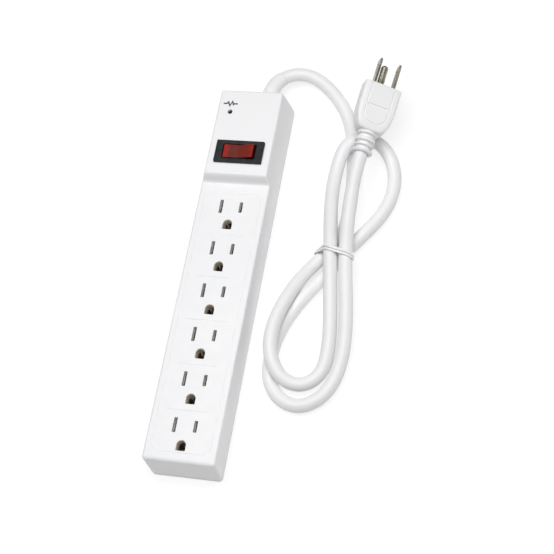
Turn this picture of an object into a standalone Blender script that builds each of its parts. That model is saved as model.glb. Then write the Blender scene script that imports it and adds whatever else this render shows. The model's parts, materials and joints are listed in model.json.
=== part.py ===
"""Six-outlet power strip with a rocker switch, a surge indicator and a bundled mains cord.

Frame: +Z up, X across the strip, Y along it towards the cord. The origin is on the surface
that the strip stands on, under the middle of the case. All sizes below are in millimetres.
"""

import math

import bmesh
import bpy
import numpy as np
from mathutils import Matrix, Vector

MM = 0.001
GAP = 0.3                      # clearance between pieces that touch

# Case
HALF_LENGTH = 127.5            # rim of the case, from the middle to either end
NEAR_TOP = 125.0               # top edge of the near face
FAR_TOP = 121.0                # top edge of the far face, which slopes outwards going down
RIM_HALF = 22.0                # half-width at the rim
LOW_HALF = 22.3                # half-width at the top edge of the outlet deck
HIGH_HALF = 20.45              # half-width at the top edge of the switch deck
LOW_TOP = 24.5                 # height of the outlet deck
HIGH_TOP = 29.9                # height of the switch deck
STEP_START = 55.8              # the ramp between the decks, with its fillets
STEP_END = 61.6
STEP_FILLET = 0.42             # share of the ramp that each fillet takes
RIM_CORNER = 2.6
FAR_RIM_CORNER = 6.0
TOP_CORNER = 1.6
EDGE_RADIUS = 1.3              # rounding of the top edge
NEAR_EDGE_STRETCH = 1.8        # the near top edge is rounded this much deeper along Y
WALL = 2.0
BASE_TOP = 2.9                 # upper face of the base plate
RIM_Z = BASE_TOP + GAP         # lower edge of the top cover
BASE_RADIUS = 1.6              # rounding of the bottom edge
LIP_INSET = 2.8                # from the case's outline to the base's lip, inside the wall
LIP_THICKNESS = 1.2
LIP_TOP = 5.3

# Outlets
OUTLETS = 6
OUTLET_PITCH = 28.65
FIRST_SLOTS = -102.8           # Y of the first pair of slots
BLADE_HALF_SPACING = 6.35
SLOT_WIDTH = 2.0
NEUTRAL_SLOT = 9.0
HOT_SLOT = 7.0
GROUND_OFFSET = 12.1           # from the slot line to the ground hole, towards the near end
GROUND_RADIUS = 2.9
GROUND_FLAT = -3.2             # straight side of the D-shaped ground hole, from its centre
GROUND_ROUND = 0.3             # centre of its round side
BORDER_HALF_X = 18.2
BORDER_NEAR = -119.5
BORDER_FAR = 49.5
BORDER_RADIUS = 5.5
GROOVE_WIDTH = 0.5
GROOVE_DEPTH = 0.25
SEPARATOR_HALF = 12.5

# Fasteners and hanging
BOSS_X = 14.4
BOSS_YS = (-115.5, 88.0)
BOSS_RADIUS = 3.2
PILOT_RADIUS = 1.6             # pilot hole for a screw, in its boss
PILOT_TOP = 15.0
SCREW_WELL_RADIUS = 3.6        # recess for a screw head, in the base
SCREW_WELL_TOP = 1.7
SCREW_HOLE_RADIUS = 1.7
KEYHOLE_YS = (-60.0, 98.0)
KEYHOLE_HEAD = 4.0
KEYHOLE_NECK = 2.2
KEYHOLE_RUN = 7.5

# Contacts under the outlets
BUS_THICKNESS = 0.8
BLADE_BUS_Z = 5.4              # underside of the strips that the blades reach down to
GROUND_BUS_Z = 3.6             # lower, because the ground pin is longer
BUS_FAR = 48.0
CLIP_THICKNESS = 0.5
CLIP_HALF_LENGTH = 2.8
BUS_GAP = 0.3
PROP_HALF_X = 10.5
PROP_HALF_Y = 0.8
PROP_MIDDLE = 3.8              # half-width of the lower middle of each prop

# Switch
SWITCH_Y = 75.9
BEZEL_SIZE = (31.0, 15.4)
BEZEL_TOP = 31.9
SWITCH_BODY = (28.3, 12.7)
SWITCH_FLOOR = 14.5
CAVITY_FLOOR = 16.2
SWITCH_OPENING = (21.4, 10.0)
PIVOT_Z = 29.5
PIVOT_RADIUS = 0.9
ROCKER_DEPTH = 9.4
ROCKER_END_RADIUS = 10.4       # the rocker's ends follow this circle round the pivot
ROCKER_END_HEIGHT = 3.47       # top corner above the pivot, with the rocker level
ROCKER_MIDDLE = 2.17
ROCKER_TILT = -6.0             # degrees about +Y at rest, left end pressed
PLUNGER_RADIUS = 1.0
PLUNGER_TIP = -8.85
ARM_PIVOT_Z = 18.4
ARM_TILT = 6.0
TERMINAL_XS = (-6.9, 0.0, 6.9)
TERMINAL_HALF_Y = 2.4

# Indicator
LED_X = -11.9
LED_Y = 105.2
LED_RADIUS = 1.35

# Surge protection
BOARD_LOW = (-18.4, 93.0, 8.0)
BOARD_HIGH = (-3.6, 116.0, 9.6)
BOARD_POST_X = -11.1
BOARD_POST_YS = (95.5, 113.5)
BOARD_POST_RADIUS = 2.0
MOV_X = -11.4
MOV_YS = (96.0, 100.6, 111.0)
MOV_Z = 16.2
MOV_RADIUS = 6.0
MOV_HALF_DEPTH = 1.8

# Cord
CORD_RADIUS = 4.3
CORD_EXIT_X = 6.5
CORD_EXIT_Z = 12.5
RELIEF_ROOT_RADIUS = 5.4
RELIEF_TAIL_RADIUS = 4.75
RELIEF_STRAIGHT = 11.0         # length of the sleeve before it tapers
FLANGE_RADIUS = 8.4
FLANGE_YS = (117.8, 120.4)
LEAD_RADIUS = 1.1
LEAD_STEP = 4.5
CORD_STEP = 11.8               # distance between the points of the cord's tube
RELIEF_LENGTH = 29.0           # from the first point of the route to the relief's tail
END_SEGMENT = 0.4              # short last segment, which squares a tube's end to its route
PLUG_END = 10.2                # from the relief's cord end to the last point of the route

# Plug: its frame has X across the blades, Y towards the tips and Z out of the broad face
PLUG_ORIGIN = (84.46, 127.18, 31.92)
PLUG_YAW = 8.57
PLUG_PITCH = 6.0
PLUG_ROLL = 28.0
PLUG_HALF_WIDTH = 12.0
PLUG_TOP = 3.5
PLUG_BOTTOM = -16.6
PLUG_LENGTH = 31.0
PLUG_CORD_Z = -5.0
PLUG_RELIEF_END = 45.1
PLUG_SHOULDER = -14.0          # where the plug starts to narrow towards the cord
PLUG_NECK = 6.6
PLUG_GROOVES = (33.8, 38.5, 41.7)
BLADE_Z = -0.9
BLADE_WIDTH = 6.35
BLADE_THICKNESS = 1.5
BLADE_LENGTH = 17.5
BLADE_HOLE_Y = 12.0            # hole in each blade, from the plug's face
BLADE_HOLE_RADIUS = 1.6
GROUND_PIN_Z = BLADE_Z - 11.9
GROUND_PIN_RADIUS = 2.375
GROUND_PIN_LENGTH = 19.0
PIN_ROOT = 7.5                 # how deep the pins sit in the plug

# Tie round the bundle
TIE_X = 66.0
TIE_Y = 20.0
TIE_SLANT = 0.21               # the tie lies across the strands, not square to the case
TIE_TURNS = 2
TIE_PITCH = 2.2
TIE_RADIUS = 0.45

# The cord's route, from inside the case, round the bundle and into the plug
ROUTE = (
    (CORD_EXIT_X, 116, CORD_EXIT_Z), (CORD_EXIT_X, 126, CORD_EXIT_Z),
    (10.1, 140.1, 11.2), (22.3, 148.1, 8.4), (51.4, 131, 5),
    (58.9, 119.3, 4.7), (66.2, 94.2, 4.45), (70, 54.7, 4.8), (67.5, 33.9, 5.6),
    (53.4, 12.4, 6.2), (43, -9.9, 10.9), (37.9, -32.5, 13.3), (40, -51.1, 13),
    (50.1, -63.8, 9.9), (59.8, -64.9, 7.5), (68.8, -58.5, 7.2), (72.6, -44, 9),
    (70.6, -16.8, 13.2), (63, 32.6, 14.8), (59.2, 62.7, 12.7), (59.9, 81.6, 12.6),
    (64.7, 95.2, 14.3), (73.1, 101.1, 10.45), (78.8, 101, 8.7), (94.1, 82.5, 5.4),
    (91.3, 52.7, 4.8), (77.7, 31.3, 5.7), (60.9, 6.1, 5.5), (47.7, -13.8, 4.6),
    (38, -41.7, 4.5), (45.4, -72, 4.5), (58.5, -77.4, 4.6), (72.6, -70.1, 5), (80.8, -50.3, 7),
    (81.3, -28.2, 10.5), (76.2, 8, 14.5), (72.8, 39.8, 15.6), (72.7, 58.2, 18),
    (74.3, 75.4, 21.9), (77.05, 93.5, 23.84),
)


# ---------------------------------------------------------------- helpers

def clear_scene():
    for old in list(bpy.data.objects):
        bpy.data.objects.remove(old, do_unlink=True)


def new_collection(name):
    collection = bpy.data.collections.new(name)
    bpy.context.scene.collection.children.link(collection)
    return collection


def mix(low, high, share):
    return low + (high - low) * share


def principled(name, color, roughness, metallic=0.0):
    made = bpy.data.materials.new(name)
    made.use_nodes = True
    shader = made.node_tree.nodes["Principled BSDF"]
    shader.inputs["Base Color"].default_value = (*color, 1.0)
    shader.inputs["Roughness"].default_value = roughness
    shader.inputs["Metallic"].default_value = metallic
    return made


def place(name, mesh, look, matrix=None):
    """Turns a bmesh in millimetres into a named part in metres."""
    bmesh.ops.scale(mesh, vec=(MM, MM, MM), verts=mesh.verts)
    data = bpy.data.meshes.new(name)
    mesh.to_mesh(data)
    mesh.free()
    return place_data(name, data, look, matrix)


def place_data(name, data, look, matrix=None):
    made = bpy.data.objects.new(name, data)
    PARTS.objects.link(made)
    if matrix is not None:
        made.matrix_world = matrix
    if look is not None:
        data.materials.clear()
        data.materials.append(look)
    return made


def hide_as_tool(made):
    for holder in list(made.users_collection):
        holder.objects.unlink(made)
    TOOLS.objects.link(made)
    made.hide_render = True
    made.display_type = "WIRE"


def combine(made, tool, operation):
    """Adds a Boolean modifier that cuts the tool from a part, or joins it on."""
    hide_as_tool(tool)
    step = made.modifiers.new(tool.name, "BOOLEAN")
    step.operation = operation
    step.solver = "EXACT"
    step.object = tool


def cut(made, mesh, name):
    tool = place(name, mesh, None, made.matrix_world.copy())
    combine(made, tool, "DIFFERENCE")


def join(made, mesh, name):
    tool = place(name, mesh, None, made.matrix_world.copy())
    combine(made, tool, "UNION")


def smooth(made, angle=35.0):
    made.data.shade_smooth()
    made.data.set_sharp_from_angle(angle=math.radians(angle))


def add_box(mesh, low, high):
    low = Vector(low)
    high = Vector(high)
    size = Matrix.Diagonal((*(high - low), 1.0))
    bmesh.ops.create_cube(mesh, size=1.0, matrix=Matrix.Translation((low + high) / 2) @ size)


def add_rod(mesh, start, end, radius, sides=16):
    """A cylinder between two points."""
    start = Vector(start)
    end = Vector(end)
    turn = (end - start).to_track_quat("Z", "Y").to_matrix().to_4x4()
    bmesh.ops.create_cone(
        mesh, cap_ends=True, segments=sides, radius1=radius, radius2=radius,
        depth=(end - start).length, matrix=Matrix.Translation((start + end) / 2) @ turn,
    )


def add_rings(mesh, rings):
    """A closed body lofted through rings of equal count, with a face on each end."""
    rows = [[mesh.verts.new(point) for point in ring] for ring in rings]
    count = len(rows[0])
    for lower, upper in zip(rows, rows[1:]):
        for i in range(count):
            j = (i + 1) % count
            mesh.faces.new((lower[i], lower[j], upper[j], upper[i]))
    mesh.faces.new(rows[0][::-1])
    mesh.faces.new(rows[-1])
    bmesh.ops.recalc_face_normals(mesh, faces=mesh.faces)


def box_part(name, low, high, look):
    mesh = bmesh.new()
    add_box(mesh, low, high)
    return place(name, mesh, look)


def rod_part(name, start, end, radius, look, sides=16):
    mesh = bmesh.new()
    add_rod(mesh, start, end, radius, sides)
    made = place(name, mesh, look)
    smooth(made)
    return made


def curve_mesh(made):
    """The closed mesh of a curve object, with its caps welded on; the curve is removed."""
    bpy.context.view_layer.update()
    graph = bpy.context.evaluated_depsgraph_get()
    data = bpy.data.meshes.new_from_object(made.evaluated_get(graph))
    mesh = bmesh.new()
    mesh.from_mesh(data)
    bmesh.ops.remove_doubles(mesh, verts=mesh.verts, dist=0.000001)
    bpy.data.objects.remove(made, do_unlink=True)
    bpy.data.meshes.remove(data)
    return mesh


def outline_prism(outlines, low, high):
    """The solid between two heights of a flat outline in millimetres, holes included."""
    curve = bpy.data.curves.new("outline", "CURVE")
    curve.dimensions = "2D"
    curve.fill_mode = "BOTH"
    curve.extrude = (high - low) / 2
    for outline in outlines:
        line = curve.splines.new("POLY")
        line.points.add(len(outline) - 1)
        for point, (x, y) in zip(line.points, outline):
            point.co = (x, y, 0.0, 1.0)
        line.use_cyclic_u = True
    made = bpy.data.objects.new("outline", curve)
    PARTS.objects.link(made)
    mesh = curve_mesh(made)
    bmesh.ops.translate(mesh, vec=(0, 0, (low + high) / 2), verts=mesh.verts)
    return mesh


def arc(centre, radius, first, last, steps):
    """Points on an arc, angles in degrees, both ends included."""
    turns = [math.radians(mix(first, last, i / steps)) for i in range(steps + 1)]
    return [(centre[0] + radius * math.cos(a), centre[1] + radius * math.sin(a)) for a in turns]


def rounded_rectangle(left, near, right, far, radius, steps=4):
    return (
        arc((right - radius, near + radius), radius, -90, 0, steps)
        + arc((right - radius, far - radius), radius, 0, 90, steps)
        + arc((left + radius, far - radius), radius, 90, 180, steps)
        + arc((left + radius, near + radius), radius, 180, 270, steps)
    )


def merge(mesh, other):
    """Adds one bmesh's faces to another."""
    data = bpy.data.meshes.new("merge")
    other.to_mesh(data)
    other.free()
    mesh.from_mesh(data)
    bpy.data.meshes.remove(data)


def smooth_path(points):
    """A natural cubic spline through points, sampled densely, with the distance along it."""
    knots = np.array(points, dtype=float)
    runs = np.linalg.norm(np.diff(knots, axis=0), axis=1)
    count = len(knots)
    system = np.eye(count)
    target = np.zeros((count, 3))
    for i in range(1, count - 1):
        before = runs[i - 1]
        after = runs[i]
        system[i, i - 1] = before
        system[i, i] = 2 * (before + after)
        system[i, i + 1] = after
        rise_after = (knots[i + 1] - knots[i]) / after
        rise_before = (knots[i] - knots[i - 1]) / before
        target[i] = 6 * (rise_after - rise_before)
    bend = np.linalg.solve(system, target)
    dense = []
    for i in range(count - 1):
        run = runs[i]
        for share in np.linspace(0, 1, 24, endpoint=False):
            a = 1 - share
            straight = a * knots[i] + share * knots[i + 1]
            curved = (a ** 3 - a) * bend[i] + (share ** 3 - share) * bend[i + 1]
            dense.append(straight + curved * run * run / 6)
    dense.append(knots[-1])
    dense = np.array(dense)
    along = np.concatenate([[0], np.cumsum(np.linalg.norm(np.diff(dense, axis=0), axis=1))])
    return dense, along


def stretch(dense, along, marks):
    return np.column_stack([np.interp(marks, along, dense[:, axis]) for axis in range(3)])


def tube(name, points, radius, look, resolution=2, radii=None):
    """A round tube along points in millimetres, as a curve object with filled caps."""
    curve = bpy.data.curves.new(name, "CURVE")
    curve.dimensions = "3D"
    curve.bevel_depth = radius * MM
    curve.bevel_resolution = resolution
    curve.use_fill_caps = True
    line = curve.splines.new("POLY")
    line.points.add(len(points) - 1)
    for i, (point, at) in enumerate(zip(line.points, points)):
        point.co = (*(Vector(at) * MM), 1.0)
        point.radius = 1.0 if radii is None else radii[i] / radius
    line.use_smooth = True
    made = bpy.data.objects.new(name, curve)
    PARTS.objects.link(made)
    curve.materials.append(look)
    return made


def turned(name, profile, look, matrix=None, steps=24):
    """A solid of revolution about Z from (radius, height) points, from top to bottom."""
    mesh = bmesh.new()
    verts = [mesh.verts.new((radius, 0.0, height)) for radius, height in profile]
    for first, second in zip(verts, verts[1:]):
        mesh.edges.new((first, second))
    made = place(name, mesh, look, matrix)
    step = made.modifiers.new("Turn", "SCREW")
    step.steps = steps
    step.render_steps = steps
    step.use_merge_vertices = True
    step.merge_threshold = 0.00001
    return made


# ---------------------------------------------------------------- case

def rise(y):
    """0 on the outlet deck, 1 on the switch deck, and the ramp with its fillets between."""
    u = min(max((y - STEP_START) / (STEP_END - STEP_START), 0.0), 1.0)
    slope = 1 / (1 - STEP_FILLET)
    if u < STEP_FILLET:
        return slope * u * u / (2 * STEP_FILLET)
    if u > 1 - STEP_FILLET:
        return 1 - slope * (1 - u) ** 2 / (2 * STEP_FILLET)
    return slope * (u - STEP_FILLET / 2)


def top_height(y):
    return mix(LOW_TOP, HIGH_TOP, rise(y))


def half_width(y, level):
    return mix(RIM_HALF, mix(LOW_HALF, HIGH_HALF, rise(y)), level)


def step_stations():
    shares = (0, STEP_FILLET / 2, STEP_FILLET, 1 - STEP_FILLET, 1 - STEP_FILLET / 2, 1)
    return [mix(STEP_START, STEP_END, share) for share in shares]


def case_ring(level_of, inset, lift=0.0, near_stretch=1.0):
    """One outline of the case. level_of gives 0 at the rim and 1 at the top edge for each Y."""
    near_level = level_of(-NEAR_TOP)
    far_level = level_of(FAR_TOP)
    near = -mix(HALF_LENGTH, NEAR_TOP, near_level) + inset * near_stretch
    far = mix(HALF_LENGTH, FAR_TOP, far_level) - inset
    near_radius = max(mix(RIM_CORNER, TOP_CORNER, near_level) - inset, 0.4)
    far_radius = max(mix(FAR_RIM_CORNER, TOP_CORNER, far_level) - inset, 0.4)
    near_half = half_width(near, near_level) - inset
    far_half = half_width(far, far_level) - inset
    side = arc((near_half - near_radius, near + near_radius), near_radius, -90, 0, 4)
    side += [(half_width(y, level_of(y)) - inset, y) for y in step_stations()]
    side += arc((far_half - far_radius, far - far_radius), far_radius, 0, 90, 4)
    right = [Vector((x, y, mix(RIM_Z, top_height(y), level_of(y)) + lift)) for x, y in side]
    left = [Vector((-p.x, p.y, p.z)) for p in reversed(right)]
    return right + left


def add_deck(mesh, top):
    """Closes a lofted case between mirrored points of its uppermost ring."""
    half = len(top) // 2
    for i in range(half - 1):
        mesh.faces.new((top[i], top[i + 1], top[-2 - i], top[-1 - i]))


def case_body(rings):
    """A closed body through the rings whose stepped top is filled from side to side."""
    mesh = bmesh.new()
    rows = [[mesh.verts.new(point) for point in ring] for ring in rings]
    count = len(rows[0])
    for lower, upper in zip(rows, rows[1:]):
        for i in range(count):
            j = (i + 1) % count
            mesh.faces.new((lower[i], lower[j], upper[j], upper[i]))
    mesh.faces.new(rows[0][::-1])
    add_deck(mesh, rows[-1])
    bmesh.ops.recalc_face_normals(mesh, faces=mesh.faces)
    return mesh


def at_rim(y):
    return 0.0


def below_top(drop):
    return lambda y: 1 - drop / (top_height(y) - RIM_Z)


def outlet_line(index):
    return FIRST_SLOTS + OUTLET_PITCH * index


def outer_case():
    rings = [case_ring(at_rim, 0.0)]
    for turn in (0, 30, 60, 90):
        angle = math.radians(turn)
        drop = EDGE_RADIUS * (1 - math.sin(angle))
        inset = EDGE_RADIUS * (1 - math.cos(angle))
        rings.append(case_ring(below_top(drop), inset, near_stretch=NEAR_EDGE_STRETCH))
    return case_body(rings)


def case_cavity():
    rings = [
        case_ring(at_rim, WALL, lift=-3.0),
        case_ring(at_rim, WALL),
        case_ring(below_top(WALL), WALL),
    ]
    return case_body(rings)


def outlet_cutters():
    """Blade slots and D-shaped ground holes of every outlet, through the deck."""
    mesh = bmesh.new()
    low = LOW_TOP - WALL - 1
    high = LOW_TOP + 1
    for index in range(OUTLETS):
        line = outlet_line(index)
        for x, length in ((-BLADE_HALF_SPACING, NEUTRAL_SLOT), (BLADE_HALF_SPACING, HOT_SLOT)):
            half = SLOT_WIDTH / 2
            add_box(mesh, (x - half, line - length / 2, low), (x + half, line + length / 2, high))
        centre = line - GROUND_OFFSET
        outline = arc((0, centre + GROUND_ROUND), GROUND_RADIUS, 0, 180, 10)
        flat = centre + GROUND_FLAT
        outline += [(-GROUND_RADIUS, flat), (GROUND_RADIUS, flat)]
        merge(mesh, outline_prism([outline], low, high))
    return mesh


def groove_cutters():
    """The shallow border line round the outlets and the lines between them."""
    low = LOW_TOP - GROOVE_DEPTH
    high = LOW_TOP + 1
    half = GROOVE_WIDTH / 2
    lines = [
        rounded_rectangle(-BORDER_HALF_X - d, BORDER_NEAR - d, BORDER_HALF_X + d,
                          BORDER_FAR + d, BORDER_RADIUS + d)
        for d in (half, -half)
    ]
    mesh = outline_prism(lines, low, high)
    for index in range(OUTLETS - 1):
        y = (outlet_line(index) + outlet_line(index + 1) - GROUND_OFFSET) / 2 + 1.0
        add_box(mesh, (-SEPARATOR_HALF, y - half, low), (SEPARATOR_HALF, y + half, high))
    return mesh


def build_top_cover(look):
    cover = place("top_cover", outer_case(), look)
    cut(cover, case_cavity(), "cover_cavity")
    bosses = bmesh.new()
    for x in (-BOSS_X, BOSS_X):
        for y in BOSS_YS:
            roof = top_height(y) - WALL / 2
            add_rod(bosses, (x, y, RIM_Z + GAP), (x, y, roof), BOSS_RADIUS)
    join(cover, bosses, "cover_bosses")
    cut(cover, outlet_cutters(), "outlet_openings")
    cut(cover, groove_cutters(), "outlet_border")
    openings = bmesh.new()
    half_x = SWITCH_BODY[0] / 2 + GAP
    half_y = SWITCH_BODY[1] / 2 + GAP
    add_box(openings, (-half_x, SWITCH_Y - half_y, 26), (half_x, SWITCH_Y + half_y, 31))
    add_rod(openings, (LED_X, LED_Y, 26), (LED_X, LED_Y, 31), LED_RADIUS + GAP)
    cord_hole = [(CORD_EXIT_X, y, CORD_EXIT_Z) for y in (119, 131)]
    add_rod(openings, *cord_hole, RELIEF_ROOT_RADIUS + GAP, 24)
    for x in (-BOSS_X, BOSS_X):
        for y in BOSS_YS:
            add_rod(openings, (x, y, RIM_Z - 1), (x, y, PILOT_TOP), PILOT_RADIUS, 12)
    cut(cover, openings, "cover_openings")
    smooth(cover, 30)


def base_rings():
    rings = []
    for turn in (0, 30, 60, 90):
        angle = math.radians(turn)
        height = BASE_RADIUS * (1 - math.cos(angle))
        inset = BASE_RADIUS * (1 - math.sin(angle))
        rings.append(case_ring(at_rim, inset, lift=height - RIM_Z))
    rings.append(case_ring(at_rim, 0.0, lift=BASE_TOP - RIM_Z))
    return rings


def upright_rings(inset, heights):
    return [case_ring(at_rim, inset, lift=z - RIM_Z) for z in heights]


def base_props():
    """Ribs that carry the contact strips, and posts under the surge board."""
    mesh = bmesh.new()
    low = BASE_TOP - 1
    high = BLADE_BUS_Z - BUS_GAP
    for index in range(OUTLETS):
        near = outlet_line(index) - PROP_HALF_Y
        far = outlet_line(index) + PROP_HALF_Y
        add_box(mesh, (-PROP_HALF_X, near, low), (-PROP_MIDDLE, far, high))
        add_box(mesh, (PROP_MIDDLE, near, low), (PROP_HALF_X, far, high))
    for y in BOARD_POST_YS:
        start = (BOARD_POST_X, y, low)
        end = (BOARD_POST_X, y, BOARD_LOW[2] - GAP)
        add_rod(mesh, start, end, BOARD_POST_RADIUS)
    return mesh


def build_base_cover(look):
    body = bmesh.new()
    add_rings(body, base_rings())
    base = place("base_cover", body, look)
    lip = bmesh.new()
    add_rings(lip, upright_rings(LIP_INSET, (BASE_TOP - 1, LIP_TOP)))
    join(base, lip, "base_lip")
    well = bmesh.new()
    add_rings(well, upright_rings(LIP_INSET + LIP_THICKNESS, (BASE_TOP, LIP_TOP + 3)))
    cut(base, well, "base_well")
    join(base, base_props(), "base_props")
    holes = bmesh.new()
    for x in (-BOSS_X, BOSS_X):
        for y in BOSS_YS:
            add_rod(holes, (x, y, -1), (x, y, SCREW_WELL_TOP), SCREW_WELL_RADIUS)
            add_rod(holes, (x, y, SCREW_WELL_TOP - 0.5), (x, y, BASE_TOP + 1), SCREW_HOLE_RADIUS, 12)
    cut_separately(base, holes, "base_screw_holes")
    for number, y in enumerate(KEYHOLE_YS, start=1):
        corner = math.degrees(math.acos(KEYHOLE_NECK / KEYHOLE_HEAD))
        outline = arc((0, y), KEYHOLE_HEAD, 180 - corner, 360 + corner, 12)
        outline += arc((0, y + KEYHOLE_RUN), KEYHOLE_NECK, 0, 180, 6)
        cut(base, outline_prism([outline], -1, BASE_TOP + 1), f"keyhole_cutter_{number}")
    smooth(base, 30)


def cut_separately(made, mesh, name):
    """Cuts a tool whose own pieces overlap each other."""
    cut(made, mesh, name)
    made.modifiers[name].use_self = True


def build_case_screws(look):
    profile = [
        (0.0, 13.0), (0.7, 12.6), (1.25, 11.4), (1.25, 1.4), (3.1, 1.4),
        (3.1, 0.8), (2.6, 0.4), (0.0, 0.4),
    ]
    number = 1
    for y in BOSS_YS:
        for x in (-BOSS_X, BOSS_X):
            at = Matrix.Translation(Vector((x, y, 0)) * MM)
            turned(f"case_screw_{number}", profile, look, at, steps=16)
            number += 1


# ---------------------------------------------------------------- outlet contacts

def build_bus(name, x, width, near, bottom, look):
    """A strip that runs under the outlets."""
    mesh = bmesh.new()
    half = width / 2
    add_box(mesh, (x - half, near, bottom), (x + half, BUS_FAR, bottom + BUS_THICKNESS))
    return place(name, mesh, look)


def add_clips(bus, x, grip, offset, bottom, top):
    """A pair of contact blades on a strip at each outlet; grip is half the gap between."""
    clips = bmesh.new()
    root = bottom + BUS_THICKNESS - 0.3
    for index in range(OUTLETS):
        line = outlet_line(index) - offset
        near = line - CLIP_HALF_LENGTH
        far = line + CLIP_HALF_LENGTH
        for side in (-1, 1):
            faces = sorted((x + side * grip, x + side * (grip + CLIP_THICKNESS)))
            add_box(clips, (faces[0], near, root), (faces[1], far, top))
    join(bus, clips, f"{bus.name}_clips")


def build_buses(look):
    for name, x in (("hot_bus", BLADE_HALF_SPACING), ("neutral_bus", -BLADE_HALF_SPACING)):
        bus = build_bus(name, x, 4.0, -108, BLADE_BUS_Z, look)
        add_clips(bus, x, BLADE_THICKNESS / 2, 0.0, BLADE_BUS_Z, 21.0)
    bus = build_bus("ground_bus", 0.0, 6.4, -119, GROUND_BUS_Z, look)
    add_clips(bus, 0.0, GROUND_PIN_RADIUS, GROUND_OFFSET, GROUND_BUS_Z, 18.0)


# ---------------------------------------------------------------- switch

def build_switch_housing(look):
    mesh = bmesh.new()
    half_x = SWITCH_BODY[0] / 2
    half_y = SWITCH_BODY[1] / 2
    add_box(mesh, (-half_x, SWITCH_Y - half_y, SWITCH_FLOOR), (half_x, SWITCH_Y + half_y, 31))
    housing = place("switch_housing", mesh, look)
    flange = bmesh.new()
    flange_x = BEZEL_SIZE[0] / 2
    flange_y = BEZEL_SIZE[1] / 2
    bottom = HIGH_TOP + GAP
    rings = []
    for inset, z in ((0, bottom), (0, BEZEL_TOP - 0.8), (0.25, BEZEL_TOP - 0.2), (0.8, BEZEL_TOP)):
        outline = rounded_rectangle(
            -flange_x + inset, SWITCH_Y - flange_y + inset,
            flange_x - inset, SWITCH_Y + flange_y - inset, 1.2, 3,
        )
        rings.append([(x, y, z) for x, y in outline])
    add_rings(flange, rings)
    join(housing, flange, "bezel_flange")
    hollow = bmesh.new()
    open_x = SWITCH_OPENING[0] / 2
    open_y = SWITCH_OPENING[1] / 2
    add_box(
        hollow, (-open_x, SWITCH_Y - open_y, CAVITY_FLOOR),
        (open_x, SWITCH_Y + open_y, BEZEL_TOP + 1),
    )
    cut(housing, hollow, "switch_cavity")
    holes = bmesh.new()
    reach = half_y + 1
    pin_radius = PIVOT_RADIUS + GAP
    add_rod(holes, (0, SWITCH_Y - reach, PIVOT_Z), (0, SWITCH_Y + reach, PIVOT_Z), pin_radius)
    for x in TERMINAL_XS:
        add_box(
            holes, (x - 0.7, SWITCH_Y - TERMINAL_HALF_Y - GAP, SWITCH_FLOOR - 1),
            (x + 0.7, SWITCH_Y + TERMINAL_HALF_Y + GAP, CAVITY_FLOOR + 1),
        )
    cut(housing, holes, "switch_holes")


def rocker_profile():
    """The rocker's outline across its pivot, level, with both halves rising outwards."""
    def on_end(height):
        return math.sqrt(ROCKER_END_RADIUS ** 2 - height ** 2)
    heights = [mix(ROCKER_END_HEIGHT, -2.0, i / 4) for i in range(5)]
    right = [(on_end(height), height) for height in heights]
    under = [(4.0, -3.2), (2.4, -3.6), (2.4, -7.0)]
    half = right + under
    return [(0.0, ROCKER_MIDDLE)] + half + [(-x, z) for x, z in reversed(half)]


def pivot_matrix(z, tilt):
    turn = Matrix.Rotation(math.radians(tilt), 4, "Y")
    return Matrix.Translation(Vector((0, SWITCH_Y, z)) * MM) @ turn


def build_rocker(look):
    flat = outline_prism([rocker_profile()], -ROCKER_DEPTH / 2, ROCKER_DEPTH / 2)
    bmesh.ops.rotate(flat, verts=flat.verts, matrix=Matrix.Rotation(math.radians(90), 3, "X"))
    rocker = place("switch_rocker", flat, look, pivot_matrix(PIVOT_Z, ROCKER_TILT))
    holes = bmesh.new()
    add_rod(holes, (0, -6, 0), (0, 6, 0), PIVOT_RADIUS + GAP)
    add_rod(holes, (0, 0, -8), (0, 0, -1.85), PLUNGER_RADIUS + GAP)
    for side in (-1, 1):
        low = min(side * 2.6, side * 6)
        high = max(side * 2.6, side * 6)
        add_box(holes, (-3, low, -8), (3, high, -3.4))
    cut(rocker, holes, "rocker_holes")


def build_switch_works(steel, brass, lamp):
    reach = SWITCH_BODY[1] / 2 - 0.2
    pin_ends = [(0, SWITCH_Y + side * reach, PIVOT_Z) for side in (-1, 1)]
    rod_part("switch_pivot_pin", *pin_ends, PIVOT_RADIUS, steel)
    tilted = pivot_matrix(PIVOT_Z, ROCKER_TILT)
    profile = [(0.0, -4.6), (0.9, -4.6), (1.0, -4.7)]
    profile += [(x, PLUNGER_TIP + 1 + z) for x, z in arc((0, 0), 1.0, 0, -90, 4)]
    turned("switch_plunger", profile, steel, tilted, steps=12)
    coils = [
        (0.8 * math.cos(a), 0.8 * math.sin(a), mix(-4.1, -2.4, a / (6 * math.pi)))
        for a in np.linspace(0, 6 * math.pi, 31)
    ]
    spring = tube("plunger_spring", coils, 0.2, steel, resolution=1)
    spring.matrix_world = tilted
    mesh = bmesh.new()
    add_box(mesh, (-7.8, -2, 0), (7.8, 2, 0.8))
    place("contact_arm", mesh, brass, pivot_matrix(ARM_PIVOT_Z, ARM_TILT))
    tops = (16.6, ARM_PIVOT_Z - GAP - 0.1, 17.1)
    for role, x, top in zip(("neutral", "load", "line"), TERMINAL_XS, tops):
        box_part(
            f"switch_terminal_{role}", (x - 0.4, SWITCH_Y - TERMINAL_HALF_Y, 7.5),
            (x + 0.4, SWITCH_Y + TERMINAL_HALF_Y, top), brass,
        )
    lamp_ends = [(-6.3, SWITCH_Y + side * 3.5, 21.9) for side in (-1, 1)]
    rod_part("neon_lamp", *lamp_ends, 1.3, lamp, 12)


# ---------------------------------------------------------------- surge protection

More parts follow.
